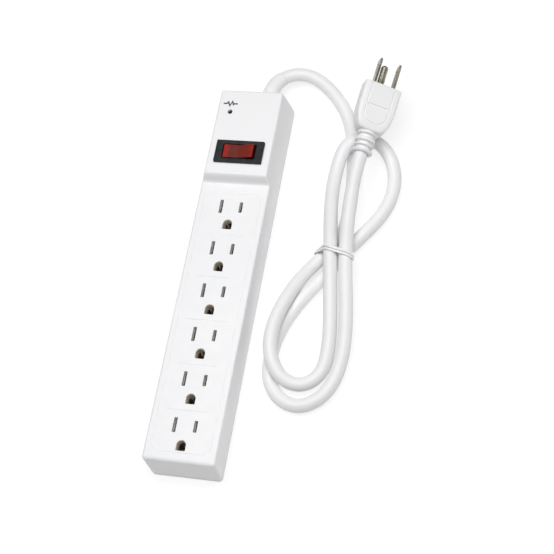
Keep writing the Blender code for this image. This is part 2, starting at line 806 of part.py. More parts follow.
def build_surge_parts(looks):
    box_part("surge_board", BOARD_LOW, BOARD_HIGH, looks["board"])
    for number, y in enumerate(MOV_YS, start=1):
        ends = [(MOV_X, y + side * MOV_HALF_DEPTH, MOV_Z) for side in (-1, 1)]
        rod_part(f"mov_{number}", *ends, MOV_RADIUS, looks["mov"], 20)
    fuse_ends = [(-5.6, y, 11.4) for y in (104.2, 114.2)]
    rod_part("thermal_fuse", *fuse_ends, 1.5, looks["fuse"], 12)
    foot = BOARD_HIGH[2] + GAP
    profile = [(LED_RADIUS * x, 27.6 + LED_RADIUS * z) for x, z in arc((0, 0), 1.0, 90, 0, 4)]
    profile += [(LED_RADIUS, foot), (0.0, foot)]
    at = Matrix.Translation(Vector((LED_X, LED_Y, 0)) * MM)
    turned("surge_led", profile, looks["led"], at, 14)


def build_leads(looks):
    """Insulated leads between the cord, the switch, the board and the buses."""
    black = looks["black_wire"]
    white = looks["white_wire"]
    green = looks["green_wire"]
    side = SWITCH_Y + TERMINAL_HALF_Y + 1.4
    runs = {
        "lead_hot_in": (black, [
            (9.0, 116.6, 13.4), (9.8, 108, 13), (10, 96, 12), (8.6, 86, 10.8), (6.9, side, 10.5)]),
        "lead_neutral": (white, [
            (4.0, 116.6, 13.4), (2.5, 108, 11.5), (0, 98, 9.5), (-3.0, 88, 7), (-3.5, 80, 5.4),
            (-3.5, 68, 5.4), (-5.4, 58, 5.5), (-6.35, 50, 5.9)]),
        "lead_ground": (green, [
            (6.5, 116.6, 9.8), (6, 108, 9.5), (5, 98, 9.2), (3.6, 88, 7), (3.2, 80, 5.4),
            (3.2, 68, 5.2), (1.5, 58, 4.6), (0, 50, 4.3)]),
        "lead_hot_out": (black, [
            (0, SWITCH_Y - 3.8, 11), (1.2, 67, 10.6), (4.8, 57, 8), (6.35, 50, 5.9)]),
        "surge_lead_hot": (black, [
            (-5.2, 91.6, 8.8), (-4.4, 87, 9.4), (-1.4, 82.5, 11), (0, side, 11.6)]),
        "surge_lead_neutral": (white, [
            (-10, 91.6, 8.8), (-9.4, 87, 9.2), (-7.6, 82.5, 10.4), (-6.9, side, 11)]),
    }
    for name, (look, points) in runs.items():
        dense, along = smooth_path(points)
        marks = np.linspace(0, along[-1], round(along[-1] / LEAD_STEP) + 1)
        tube(name, stretch(dense, along, marks), LEAD_RADIUS, look)


# ---------------------------------------------------------------- cord and plug

def relief_radius(mark):
    if mark < RELIEF_STRAIGHT:
        return RELIEF_ROOT_RADIUS
    share = (mark - RELIEF_STRAIGHT) / (RELIEF_LENGTH - RELIEF_STRAIGHT)
    return mix(RELIEF_ROOT_RADIUS, RELIEF_TAIL_RADIUS, share)


def build_cord_relief(dense, along, look):
    """A tapered sleeve along the cord's first stretch, with a flange behind the far wall."""
    marks = np.append(np.linspace(1.2, RELIEF_LENGTH - END_SEGMENT, 10), RELIEF_LENGTH)
    radii = [relief_radius(mark) for mark in marks]
    points = stretch(dense, along, marks)
    sleeve = tube("relief_sleeve", points, RELIEF_ROOT_RADIUS, look, 4, radii)
    mesh = curve_mesh(sleeve)
    bmesh.ops.scale(mesh, vec=(1 / MM, 1 / MM, 1 / MM), verts=mesh.verts)
    relief = place("cord_strain_relief", mesh, look)
    flange = bmesh.new()
    flange_ends = [(CORD_EXIT_X, y, CORD_EXIT_Z) for y in FLANGE_YS]
    add_rod(flange, *flange_ends, FLANGE_RADIUS, 20)
    join(relief, flange, "relief_flange")
    smooth(relief, 40)


def build_cord(dense, along, look):
    first = RELIEF_LENGTH + GAP
    last = along[-1] - PLUG_END
    inner = np.linspace(first + END_SEGMENT, last - END_SEGMENT, round((last - first) / CORD_STEP))
    marks = np.concatenate([[first], inner, [last]])
    tube("power_cord", stretch(dense, along, marks), CORD_RADIUS, look, 3)


def plug_matrix(z=0.0):
    """The plug's frame, moved out of the broad face by z."""
    turn = (
        Matrix.Rotation(math.radians(-PLUG_YAW), 4, "Z")
        @ Matrix.Rotation(math.radians(PLUG_PITCH), 4, "X")
        @ Matrix.Rotation(math.radians(PLUG_ROLL), 4, "Y")
    )
    shift = Matrix.Translation(Vector((0, 0, z)) * MM)
    return Matrix.Translation(Vector(PLUG_ORIGIN) * MM) @ turn @ shift


def plug_ring(y, half, top, bottom, blend):
    """A D-shaped section: flat and broad on top, round below; blend 1 makes it an ellipse."""
    centre = mix(-3.4, PLUG_CORD_Z, blend)
    points = []
    count = 28
    for i in range(count):
        angle = 2 * math.pi * (i + 0.5) / count
        power = mix(5.0 if angle < math.pi else 2.5, 2.0, blend)
        x = math.cos(angle)
        z = math.sin(angle)
        reach = (abs(x) ** power + abs(z) ** power) ** (-1 / power)
        height = (top - centre) if z > 0 else (centre - bottom)
        points.append((half * reach * x, y, centre + height * reach * z))
    return points


def build_plug(white, brass):
    body = bmesh.new()
    stations = [(0.0, 0.9, 0.0), (-0.8, 0.1, 0.0), (-2.5, 0.0, 0.0), (-12.0, 0.0, 0.0)]
    rings = [
        plug_ring(y, PLUG_HALF_WIDTH - inset, PLUG_TOP - inset, PLUG_BOTTOM + inset, blend)
        for y, inset, blend in stations
    ]
    for turn in (22.5, 40, 55, 68, 79, 90):
        angle = math.radians(turn)
        y = mix(PLUG_SHOULDER, -PLUG_LENGTH, math.sin(angle))
        share = math.cos(angle)
        half = mix(PLUG_NECK, PLUG_HALF_WIDTH, share)
        top = mix(PLUG_CORD_Z + PLUG_NECK, PLUG_TOP, share)
        bottom = mix(PLUG_CORD_Z - PLUG_NECK, PLUG_BOTTOM, share)
        rings.append(plug_ring(y, half, top, bottom, 1 - share))
    add_rings(body, rings)
    plug = place("plug_body", body, white, plug_matrix())
    sockets = bmesh.new()
    deep = -PIN_ROOT - 0.5
    half_x = BLADE_THICKNESS / 2 + GAP
    half_z = BLADE_WIDTH / 2 + GAP
    for x in (-BLADE_HALF_SPACING, BLADE_HALF_SPACING):
        add_box(sockets, (x - half_x, deep, BLADE_Z - half_z), (x + half_x, 1, BLADE_Z + half_z))
    add_rod(sockets, (0, deep, GROUND_PIN_Z), (0, 1, GROUND_PIN_Z), GROUND_PIN_RADIUS + GAP)
    cut(plug, sockets, "plug_sockets")
    smooth(plug, 40)
    build_plug_relief(white)
    build_pins(brass)


def build_plug_relief(look):
    ring = 6.1
    groove = 5.0
    start = PLUG_LENGTH + GAP
    profile = [(0.0, -start), (6.5, -start)]
    for centre in PLUG_GROOVES:
        profile += [(ring, -centre + 1.2), (groove, -centre + 0.6)]
        profile += [(groove, -centre - 0.6), (ring, -centre - 1.2)]
    profile += [(ring, -PLUG_RELIEF_END + 0.8), (5.4, -PLUG_RELIEF_END), (0.0, -PLUG_RELIEF_END)]
    upright = plug_matrix(z=PLUG_CORD_Z) @ Matrix.Rotation(math.radians(-90), 4, "X")
    turned("plug_strain_relief", profile, look, upright, steps=20)


def build_pins(look):
    half_x = BLADE_THICKNESS / 2
    half_z = BLADE_WIDTH / 2
    for role, side in (("neutral", -1), ("hot", 1)):
        x = side * BLADE_HALF_SPACING
        mesh = bmesh.new()
        add_box(
            mesh, (x - half_x, -PIN_ROOT, BLADE_Z - half_z),
            (x + half_x, BLADE_LENGTH, BLADE_Z + half_z),
        )
        blade = place(f"plug_blade_{role}", mesh, look, plug_matrix())
        hole = bmesh.new()
        hole_ends = [(x + reach, BLADE_HOLE_Y, BLADE_Z) for reach in (-3, 3)]
        add_rod(hole, *hole_ends, BLADE_HOLE_RADIUS, 14)
        cut(blade, hole, f"blade_hole_{role}")
    dome = GROUND_PIN_LENGTH - 1.8
    profile = [(GROUND_PIN_RADIUS * x, dome + 1.8 * z) for x, z in arc((0, 0), 1.0, 90, 0, 4)]
    profile += [(GROUND_PIN_RADIUS, -PIN_ROOT), (0.0, -PIN_ROOT)]
    upright = plug_matrix(z=GROUND_PIN_Z) @ Matrix.Rotation(math.radians(-90), 4, "X")
    turned("plug_ground_pin", profile, look, upright, steps=16)


def strands_at(dense, y):
    """Where the cord crosses the tie's slanted plane: (x, z, sideways slope) of each strand."""
    beyond = dense[:, 1] - y + TIE_SLANT * (dense[:, 0] - TIE_X)
    found = []
    for i in np.nonzero(beyond[:-1] * beyond[1:] <= 0)[0]:
        run = dense[i + 1] - dense[i]
        found.append((dense[i][0], dense[i][2], run[0] / run[1]))
    return found


def tie_point(strands, angle):
    """The outermost point of the bundle's outline in one direction, as (x, z)."""
    clear = CORD_RADIUS + TIE_RADIUS + GAP
    best = None
    for x, z, slope in strands:
        wide = clear * math.sqrt(1 + slope * slope)
        reach = math.hypot(wide * math.cos(angle), clear * math.sin(angle))
        support = x * math.cos(angle) + z * math.sin(angle) + reach
        if best is None or support > best[0]:
            at_x = x + wide * wide * math.cos(angle) / reach
            at_z = z + clear * clear * math.sin(angle) / reach
            best = (support, at_x, at_z)
    return best[1], best[2]


def build_tie(dense, look):
    """Two turns round the four strands, a step along the bundle on each turn."""
    steps = 24
    points = []
    for i in range(TIE_TURNS * steps + 1):
        y = TIE_Y + TIE_PITCH * (i / steps - TIE_TURNS / 2)
        x, z = tie_point(strands_at(dense, y), 2 * math.pi * (i + 0.5) / steps)
        points.append((x, y - TIE_SLANT * (x - TIE_X), z))
    tube("cord_tie", points, TIE_RADIUS, look, 1)


# ---------------------------------------------------------------- assembly

def build_looks():
    return {
        "white": principled("white_case", (0.87, 0.87, 0.88), 0.32),
        "cord": principled("white_cord", (0.86, 0.86, 0.86), 0.42),
        "dark": principled("dark_bezel", (0.04, 0.042, 0.045), 0.35),
        "red": principled("rocker_red", (0.26, 0.025, 0.02), 0.22),
        "brass": principled("brass", (0.72, 0.55, 0.28), 0.3, 1.0),
        "blade": principled("blade_metal", (0.62, 0.58, 0.5), 0.25, 1.0),
        "steel": principled("steel", (0.6, 0.6, 0.6), 0.35, 1.0),
        "lamp": principled("lamp_glass", (0.9, 0.45, 0.2), 0.1),
        "board": principled("board", (0.08, 0.25, 0.12), 0.5),
        "mov": principled("varistor_blue", (0.08, 0.18, 0.5), 0.4),
        "fuse": principled("fuse", (0.75, 0.72, 0.62), 0.4),
        "led": principled("indicator", (0.12, 0.13, 0.12), 0.2),
        "black_wire": principled("black_wire", (0.03, 0.03, 0.03), 0.45),
        "white_wire": principled("white_wire", (0.82, 0.82, 0.8), 0.45),
        "green_wire": principled("green_wire", (0.05, 0.32, 0.1), 0.45),
        "tie": principled("tie_plastic", (0.88, 0.88, 0.88), 0.35),
    }


def build_strip():
    looks = build_looks()
    build_top_cover(looks["white"])
    build_base_cover(looks["white"])
    build_case_screws(looks["steel"])
    build_buses(looks["brass"])
    build_switch_housing(looks["dark"])
    build_rocker(looks["red"])
    build_switch_works(looks["steel"], looks["brass"], looks["lamp"])
    build_surge_parts(looks)
    build_leads(looks)
    dense, along = smooth_path(ROUTE)
    build_cord_relief(dense, along, looks["cord"])
    build_cord(dense, along, looks["cord"])
    build_plug(looks["cord"], looks["blade"])
    build_tie(dense, looks["tie"])


clear_scene()
PARTS = new_collection("power_strip")
TOOLS = new_collection("cutters")
build_strip()
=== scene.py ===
"""Looks of the power strip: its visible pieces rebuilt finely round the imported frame."""

import json
import math

import bmesh
import bpy
import numpy as np
from mathutils import Matrix, Vector


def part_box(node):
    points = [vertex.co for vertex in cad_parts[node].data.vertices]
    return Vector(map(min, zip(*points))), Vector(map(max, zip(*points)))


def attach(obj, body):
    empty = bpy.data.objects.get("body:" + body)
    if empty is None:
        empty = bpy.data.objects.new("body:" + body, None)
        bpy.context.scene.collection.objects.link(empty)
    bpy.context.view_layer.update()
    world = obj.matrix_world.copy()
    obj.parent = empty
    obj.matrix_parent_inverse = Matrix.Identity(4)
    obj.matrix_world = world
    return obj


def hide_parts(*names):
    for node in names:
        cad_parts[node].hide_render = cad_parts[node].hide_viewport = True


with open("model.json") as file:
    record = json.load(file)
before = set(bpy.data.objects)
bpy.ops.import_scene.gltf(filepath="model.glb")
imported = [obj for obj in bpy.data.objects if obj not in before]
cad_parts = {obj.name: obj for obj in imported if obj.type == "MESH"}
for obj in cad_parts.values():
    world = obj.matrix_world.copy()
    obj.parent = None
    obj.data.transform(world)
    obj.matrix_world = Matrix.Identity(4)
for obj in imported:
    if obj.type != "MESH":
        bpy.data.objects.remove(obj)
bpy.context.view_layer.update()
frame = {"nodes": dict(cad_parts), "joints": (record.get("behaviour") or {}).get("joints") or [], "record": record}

NODES = frame["nodes"]
MM = 0.001
BODY = "strip"

# ------ sizes, in millimetres

# Case
RIM_CORNER = 2.6
FAR_RIM_CORNER = 6.0
TOP_CORNER = 1.6
LEAST_CORNER = 0.4
EDGE_RADIUS = 1.3
NEAR_EDGE_STRETCH = 1.8        # the near top edge is rounded this much deeper along Y
WALL = 2.0
LOW_HALF = 22.3
HIGH_HALF = 20.45
STEP_START = 55.8
STEP_END = 61.6
STEP_FILLET = 0.42
NEAR_DRAFT = 2.5               # how far the near face leans in from rim to top
FAR_DRAFT = 6.5
SEAM_CHAMFER = 0.25            # on the cover and the base where they meet
BASE_RADIUS = 1.6
BASE_SIDE = 2.9                # height of the base's side
LIP_INSET = 2.8                # the base's lip, inside the cover
LIP_TOP = 5.3
LIP_WALL = 1.2
KEYHOLE_HEAD = 4.0
KEYHOLE_NECK = 2.2
KEYHOLE_RUN = 7.5
SHANK_HOLE_RADIUS = 1.7
SHANK_HOLE_ZS = (1.2, 6.0)
SCREW_PROFILE = (
    (0.01, 13.0), (0.7, 12.4), (1.25, 11.2), (1.25, 1.45), (2.9, 1.4), (3.1, 1.25),
    (3.1, 0.95), (2.9, 0.65), (2.3, 0.46), (1.2, 0.4), (0.01, 0.4),
)
SCREW_WELL_PROFILE = ((3.6, 1.7), (3.6, 0.3), (3.9, -0.02), (3.9, -1))
CROSS_ARM = (1.6, 0.36, 0.2, 1.15)    # half-length, half-width, bottom and top of a recess arm
CUT_MARGIN = 1.0               # how far a cutter passes a surface
PANEL_MIDDLE = 15.0            # the shallow panel under the base
PANEL_LONGER = 34.0            # its half-length less its half-width
PANEL_STEPS = ((13.0, 2.5, -1.0), (13.0, 2.5, 0.05), (12.7, 2.2, 0.35))   # half-width, corner, z

# Outlets
BLADE_HALF_SPACING = 6.35
SLOT_WIDTH = 2.0
SLOT_CORNER = 0.35
SLOT_LENGTHS = {-1: 9.0, 1: 7.0}     # neutral on the left, hot on the right
GROUND_OFFSET = 12.1
GROUND_RADIUS = 2.9
GROUND_FLAT = -3.2
GROUND_ROUND = 0.3
CHAMFER = 0.25
BORDER = (-18.2, -119.5, 18.2, 49.5)
BORDER_RADIUS = 5.5
GROOVE_RADIUS = 0.22
SEPARATOR_HALF = 12.5
SEPARATOR_SHIFT = 1.0          # of a separator, from midway between two outlets
GUIDE_DEPTH = 7.0              # moulded guides under the slots, below the deck's surface
GUIDE_WALL = 1.4
SLEEVE_DROP = 0.5              # from the deck to the top of a ground contact
SLEEVE_DEPTH = 4.6
SLEEVE_WALL = 0.5
SLEEVE_GAP = 0.05
SLEEVE_MOUTH = 0.1             # wall left at the flared top of a ground contact

# Switch
SWITCH_OPENING = (14.4, 6.6)   # half-sizes across and along the strip
SWITCH_BODY = (14.15, 6.35)
SWITCH_WELL = (10.7, 5.0)
SWITCH_WELL_BOTTOM = 16.2
SWITCH_CORNER = 0.5
DECK_CUT = (26, 31)            # bottom and top of the cutters through the switch deck
ROCKER_END_RADIUS = 10.4
ROCKER_END_HEIGHT = 3.47
ROCKER_MIDDLE = 2.17
ROCKER_WIDTH = 9.4
ROCKER_END_BOTTOM = -2.0
ROCKER_CROWN_XS = (0.9, 5.0, 9.0)
ROCKER_UNDERSIDE = ((4.0, -3.2), (2.4, -3.6), (2.4, -4.6))
ROCKER_REST_TILT = -6.0
INDICATOR_GAP = 0.12
INDICATOR_RIM = 0.25
INDICATOR_RIM_ZS = (12.4, 12.3, 11.4)
LEG_REACH = 0.6                # from the indicator's middle to a leg's
LEG_HALF = 0.2
LEG_TOP = 11.8
MARK_CENTRE = (-12.4, 111.0)
MARK_HALF_LINE = 0.5
MARK_LINE = (
    (-4.8, 0), (-2.6, 0), (-1.7, 1.2), (-0.4, -1.5), (0.9, 1.7), (1.8, -0.6), (2.5, 0), (4.6, 0),
)

# Cord
CORD_RADIUS = 4.3
CORD_GAP = 0.05
RELIEF_START = 1.2
RELIEF_LENGTH = 29.0
RELIEF_STRAIGHT = 11           # length of the sleeve before it tapers
RELIEF_ROOT_RADIUS = 5.4
RELIEF_TAIL_RADIUS = 4.75
RELIEF_LIP = 1.0
RELIEF_LIP_DROP = 0.4
RELIEF_HOLE_RADIUS = 5.55
RELIEF_HOLE_YS = (119, 131)
FLANGE_RADIUS = 8.4
FLANGE_YS = (117.8, 120.4)
PLUG_END = 10.2

# Plug
PLUG_ORIGIN = (84.46, 127.18, 31.92)
PLUG_YAW = 8.57
PLUG_PITCH = 6.0
PLUG_ROLL = 28.0
PLUG_HALF_WIDTH = 12.0
PLUG_TOP = 3.5
PLUG_BOTTOM = -16.6
PLUG_LENGTH = 31.0
PLUG_SHOULDER = -14.0
PLUG_CORD_Z = -5.0
PLUG_RELIEF_END = 45.1
PLUG_FACE_RADIUS = 0.7
PLUG_TOP_POWER = 11.0          # how square the section is above its widest line
PLUG_BOTTOM_POWER = 2.8
PLUG_WIDEST_Z = -3.4
PLUG_NECK = 6.6
CONTOUR_HALF = 7.5             # the groove drawn on the plug's broad face
CONTOUR_BEND = 7.0
CONTOUR_BEND_Y = -20
CONTOUR_YS = (1.5, -3, -8, -13, -17)
CONTOUR_RADIUS = 0.55
BAR_Y = -15.4
BAR_XS = (-6.9, -3.4, 0, 3.1, 6.2)
BAR_RADIUS = 0.85
NECK_GROOVES = (33.8, 38.5, 41.7)
NECK_ROOT_RADIUS = 6.45
NECK_TAIL_RADIUS = 6.15
NECK_GROOVE_DEPTH = 1.65
NECK_GROOVE_HALF = 0.9
COLLAR_START = 42.5
COLLAR_RADIUS = 6.8
COLLAR_ROUND = 1.6
COLLAR_DROP = 1.5
BLADE_Z = -0.9
BLADE_WIDTH = 6.35
BLADE_THICKNESS = 1.5
BLADE_LENGTH = 17.5
BLADE_HOLE_Y = 12.0
BLADE_HOLE_RADIUS = 1.6
GROUND_PIN_Z = BLADE_Z - 11.9
GROUND_PIN_RADIUS = 2.375
GROUND_PIN_LENGTH = 19.0
GROUND_PIN_DOME = 2.0
PIN_ROOT = 7.5
PIN_GAP = 0.05

# Tie
TIE_X = 66.0
TIE_Y = 20.0
TIE_SLANT = 0.21
TIE_TURNS = 2
TIE_PITCH = 1.9
TIE_WIDTH = 1.75
TIE_THICKNESS = 0.95
TIE_GAP = 0.12
TIE_LOWEST = 0.08
TIE_STEPS = 72                 # stations in one turn
TIE_SIDES = 14

# The cord's route, from inside the case, round the bundle and into the plug, in metres
ROUTE = (
    (0.0065, 0.116, 0.0125), (0.0065, 0.126, 0.0125), (0.0101, 0.1401, 0.0112),
    (0.0223, 0.1481, 0.0084), (0.0514, 0.131, 0.005), (0.0589, 0.1193, 0.0047),
    (0.0662, 0.0942, 0.00445), (0.07, 0.0547, 0.0048), (0.0675, 0.0339, 0.0056),
    (0.0534, 0.0124, 0.0062), (0.043, -0.0099, 0.0109), (0.0379, -0.0325, 0.0133),
    (0.04, -0.0511, 0.013), (0.0501, -0.0638, 0.0099), (0.0598, -0.0649, 0.0075),
    (0.0688, -0.0585, 0.0072), (0.0726, -0.044, 0.009), (0.0706, -0.0168, 0.0132),
    (0.063, 0.0326, 0.0148), (0.0592, 0.0627, 0.0127), (0.0599, 0.0816, 0.0126),
    (0.0647, 0.0952, 0.0143), (0.0731, 0.1011, 0.01045), (0.0788, 0.101, 0.0087),
    (0.0941, 0.0825, 0.0054), (0.0913, 0.0527, 0.0048), (0.0777, 0.0313, 0.0057),
    (0.0609, 0.0061, 0.0055), (0.0477, -0.0138, 0.0046), (0.038, -0.0417, 0.0045),
    (0.0454, -0.072, 0.0045), (0.0585, -0.0774, 0.0046), (0.0726, -0.0701, 0.005),
    (0.0808, -0.0503, 0.007), (0.0813, -0.0282, 0.0105), (0.0762, 0.008, 0.0145),
    (0.0728, 0.0398, 0.0156), (0.0727, 0.0582, 0.018), (0.0743, 0.0754, 0.0219),
    (0.07705, 0.0935, 0.02384),
)


# ------ helpers

def mix(low, high, share):
    return low + (high - low) * share


def box_mm(node):
    low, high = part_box(node)
    return low / MM, high / MM


def link(made):
    bpy.context.scene.collection.objects.link(made)
    return made


def place(name, mesh, look=None, matrix=None):
    """Turns a bmesh in millimetres into an object in metres."""
    bmesh.ops.scale(mesh, vec=(MM, MM, MM), verts=mesh.verts)
    data = bpy.data.meshes.new(name)
    mesh.to_mesh(data)
    mesh.free()
    made = link(bpy.data.objects.new(name, data))
    if matrix is not None:
        made.matrix_world = matrix
    if look is not None:
        data.materials.append(look)
    return made


def add_box(mesh, low, high):
    low, high = Vector(low), Vector(high)
    size = Matrix.Diagonal((*(high - low), 1.0))
    bmesh.ops.create_cube(mesh, size=1.0, matrix=Matrix.Translation((low + high) / 2) @ size)


def add_rod(mesh, start, end, radius, sides=32):
    start, end = Vector(start), Vector(end)
    turn = (end - start).to_track_quat("Z", "Y").to_matrix().to_4x4()
    bmesh.ops.create_cone(
        mesh, cap_ends=True, segments=sides, radius1=radius, radius2=radius,
        depth=(end - start).length, matrix=Matrix.Translation((start + end) / 2) @ turn,
    )


def stitch(mesh, rings, closed=False):
    """Side faces through rings of equal count: the rows of vertices and the faces made."""
    rows = [[mesh.verts.new(point) for point in ring] for ring in rings]
    made = []
    for lower, upper in zip(rows, rows[1:] + (rows[:1] if closed else [])):
        for i in range(len(lower)):
            j = (i + 1) % len(lower)
            made.append(mesh.faces.new((lower[i], lower[j], upper[j], upper[i])))
    return rows, made


def add_rings(mesh, rings):
    """A closed body lofted through rings of equal count, with a face on each end."""
    rows, made = stitch(mesh, rings)
    made.append(mesh.faces.new(rows[0][::-1]))
    made.append(mesh.faces.new(rows[-1]))
    bmesh.ops.recalc_face_normals(mesh, faces=made)


def loft(rings):
    mesh = bmesh.new()
    add_rings(mesh, rings)
    return mesh


def arc(centre, radius, first, last, steps):
    turns = [math.radians(mix(first, last, i / steps)) for i in range(steps + 1)]
    return [(centre[0] + radius * math.cos(a), centre[1] + radius * math.sin(a)) for a in turns]


def rounded_rectangle(left, near, right, far, radius, steps=8):
    return (
        arc((right - radius, near + radius), radius, -90, 0, steps)
        + arc((right - radius, far - radius), radius, 0, 90, steps)
        + arc((left + radius, far - radius), radius, 90, 180, steps)
        + arc((left + radius, near + radius), radius, 180, 270, steps)
    )


def centred_rectangle(centre, half_x, half_y, radius, steps):
    x, y = centre
    return rounded_rectangle(x - half_x, y - half_y, x + half_x, y + half_y, radius, steps)


def at_height(outline, z):
    return [(x, y, z) for x, y in outline]


def centre_of(node):
    """(x, y) of the middle of a node's box, in millimetres."""
    low, high = box_mm(node)
    return (low.x + high.x) / 2, (low.y + high.y) / 2


def add_groove(mesh, centres, radius, closed=False):
    """A round-bottomed groove cutter along points."""
    circle = arc((0, 0), 1.0, 0, 360, 8)[:-1]
    count = len(centres)
    rings = []
    for i, centre in enumerate(centres):
        before = centres[i - 1] if closed else centres[max(i - 1, 0)]
        after = centres[(i + 1) % count] if closed else centres[min(i + 1, count - 1)]
        along = (after - before).normalized()
        across = along.cross(Vector((0, 0, 1))).normalized()
        up = across.cross(along)
        rings.append([centre + (across * a + up * b) * radius for a, b in circle])
    if closed:
        bmesh.ops.recalc_face_normals(mesh, faces=stitch(mesh, rings, True)[1])
    else:
        add_rings(mesh, rings)


def evaluated_mesh(made):
    """A new mesh holding an object's shape with its modifiers applied."""
    bpy.context.view_layer.update()
    graph = bpy.context.evaluated_depsgraph_get()
    return bpy.data.meshes.new_from_object(made.evaluated_get(graph))


def boolean(made, mesh, operation):
    """Applies one Boolean with a bmesh in millimetres, in the part's own frame."""
    tool = place("tool", mesh, None, made.matrix_world.copy())
    step = made.modifiers.new("Boolean", "BOOLEAN")
    step.operation = operation
    step.solver = "EXACT"
    step.object = tool
    data = evaluated_mesh(made)
    made.modifiers.clear()
    made.data = data
    bpy.data.objects.remove(tool, do_unlink=True)


def smooth(made, angle=32.0):
    """Smooth shading that keeps flat faces flat and edges beyond the angle sharp."""
    made.data.shade_smooth()
    made.data.set_sharp_from_angle(angle=math.radians(angle))
    step = made.modifiers.new("Weighted normals", "WEIGHTED_NORMAL")
    step.keep_sharp = True
    step.weight = 60


def bevel(made, width, segments, angle):
    step = made.modifiers.new("Rounded edges", "BEVEL")
    step.width = width * MM
    step.segments = segments
    step.limit_method = "ANGLE"
    step.angle_limit = math.radians(angle)
    made.data = evaluated_mesh(made)
    made.modifiers.clear()


def settle(made, node, body=BODY):
    """Rides a finished piece on its body, in place of the CAD node that it stands for."""
    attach(made, body)
    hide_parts(node)
    return made


def turned(mesh, profile, steps, centre=(0.0, 0.0)):
    """A closed solid of revolution about Z from (radius, height) points, top to bottom."""
    add_rings(mesh, [
        at_height(arc(centre, radius, 0, 360, steps)[:-1], height)
        for radius, height in reversed(profile)
    ])
    return mesh


def dome(radius, base, height):
    """(radius, height) points of a dome, from its top down to its widest line."""
    return [(max(radius * a, 0.01), base + height * b) for a, b in arc((0, 0), 1.0, 90, 0, 10)]


def round_off(left, length, drop):
    """How far a surface drops in the rounding at its end, with some length left before the end."""
    if left >= length:
        return 0.0
    return drop * (1 - math.sqrt(max(1 - (1 - left / length) ** 2, 0)))


def smooth_path(points):
    """A natural cubic spline through points, sampled densely, with the distance along it."""
    knots = np.array(points, dtype=float)
    runs = np.linalg.norm(np.diff(knots, axis=0), axis=1)
    count = len(knots)
    system = np.eye(count)
    target = np.zeros((count, 3))
    for i in range(1, count - 1):
        before, after = runs[i - 1:i + 1]
        system[i, i - 1:i + 2] = before, 2 * (before + after), after
        rise_after = (knots[i + 1] - knots[i]) / after
        rise_before = (knots[i] - knots[i - 1]) / before
        target[i] = 6 * (rise_after - rise_before)
    bend = np.linalg.solve(system, target)
    dense = []
    for i, run in enumerate(runs):
        for share in np.linspace(0, 1, 24, endpoint=False):
            a = 1 - share
            straight = a * knots[i] + share * knots[i + 1]
            curved = (a ** 3 - a) * bend[i] + (share ** 3 - share) * bend[i + 1]
            dense.append(straight + curved * run * run / 6)
    dense = np.array([*dense, knots[-1]])
    along = np.concatenate([[0], np.cumsum(np.linalg.norm(np.diff(dense, axis=0), axis=1))])
    return dense, along


def stretch(dense, along, marks):
    return np.column_stack([np.interp(marks, along, dense[:, axis]) for axis in range(3)])


def tube(name, points, radius, look, radii=None):
    """A round tube along points in metres, as a curve of one open spline."""
    curve = bpy.data.curves.new(name, "CURVE")
    curve.dimensions = "3D"
    curve.bevel_depth = radius * MM
    curve.bevel_resolution = 14
    curve.use_fill_caps = True
    line = curve.splines.new("POLY")
    line.points.add(len(points) - 1)
    for i, (point, at) in enumerate(zip(line.points, points)):
        point.co = (*at, 1.0)
        point.radius = 1.0 if radii is None else radii[i] / radius
    line.use_smooth = True
    curve.materials.append(look)
    return link(bpy.data.objects.new(name, curve))


# ------ materials

LOOKS = {}


class Look:
    """A Principled material, kept in LOOKS, and short calls for the nodes that vary it."""

    def __init__(self, name, color, roughness, metallic=0.0):
        LOOKS[name] = bpy.data.materials.new(name)
        LOOKS[name].use_nodes = True
        self.tree = LOOKS[name].node_tree
        self.shader = self.tree.nodes["Principled BSDF"]
        self.set("Base Color", (*color, 1.0))
        self.set("Roughness", roughness)
        self.set("Metallic", metallic)
        self.coords = self.tree.nodes.new("ShaderNodeTexCoord").outputs["Object"]

    def set(self, socket, value):
        self.shader.inputs[socket].default_value = value

    def node(self, kind, **values):
        made = self.tree.nodes.new(kind)
        for name, value in values.items():
            setattr(made, name, value)
        return made

    def join(self, output, target):
        self.tree.links.new(output, target)

    def stretched(self, scale):
        """Object coordinates stretched by a different factor along each axis."""
        mapping = self.node("ShaderNodeMapping")
        mapping.inputs["Scale"].default_value = scale
        self.join(self.coords, mapping.inputs["Vector"])
        return mapping.outputs["Vector"]

    def noise(self, scale, detail=3.0, vector=None):
        made = self.node("ShaderNodeTexNoise")
        made.inputs["Scale"].default_value = scale
        made.inputs["Detail"].default_value = detail
        self.join(vector or self.coords, made.inputs["Vector"])
        return made.outputs["Fac"]

    def ramp(self, value, first, last, *others):
        """Colours through (position, colour) stops, as a value rises."""
        made = self.node("ShaderNodeValToRGB")
        stops = made.color_ramp.elements
        for stop, (position, color) in zip(stops, (first, last)):
            stop.position = position
            stop.color = (*color, 1.0)
        for position, color in others:
            stops.new(position).color = (*color, 1.0)
        self.join(value, made.inputs["Fac"])
        return made.outputs["Color"]

    def range(self, value, *ends):
        made = self.node("ShaderNodeMapRange")
        for name, end in zip(("From Min", "From Max", "To Min", "To Max"), ends):
            made.inputs[name].default_value = end
        self.join(value, made.inputs["Value"])
        return made.outputs["Result"]

    def vary_color(self, value, low, high, first, last):
        colors = self.ramp(value, (low, first), (high, last))
        self.join(colors, self.shader.inputs["Base Color"])

    def vary_roughness(self, value, first, last):
        self.join(self.range(value, 0.3, 0.7, first, last), self.shader.inputs["Roughness"])

    def bump(self, value, strength, distance, before=None):
        made = self.node("ShaderNodeBump")
        made.inputs["Strength"].default_value = strength
        made.inputs["Distance"].default_value = distance
        self.join(value, made.inputs["Height"])
        if before is not None:
            self.join(before, made.inputs["Normal"])
        self.join(made.outputs["Normal"], self.shader.inputs["Normal"])
        return made.outputs["Normal"]


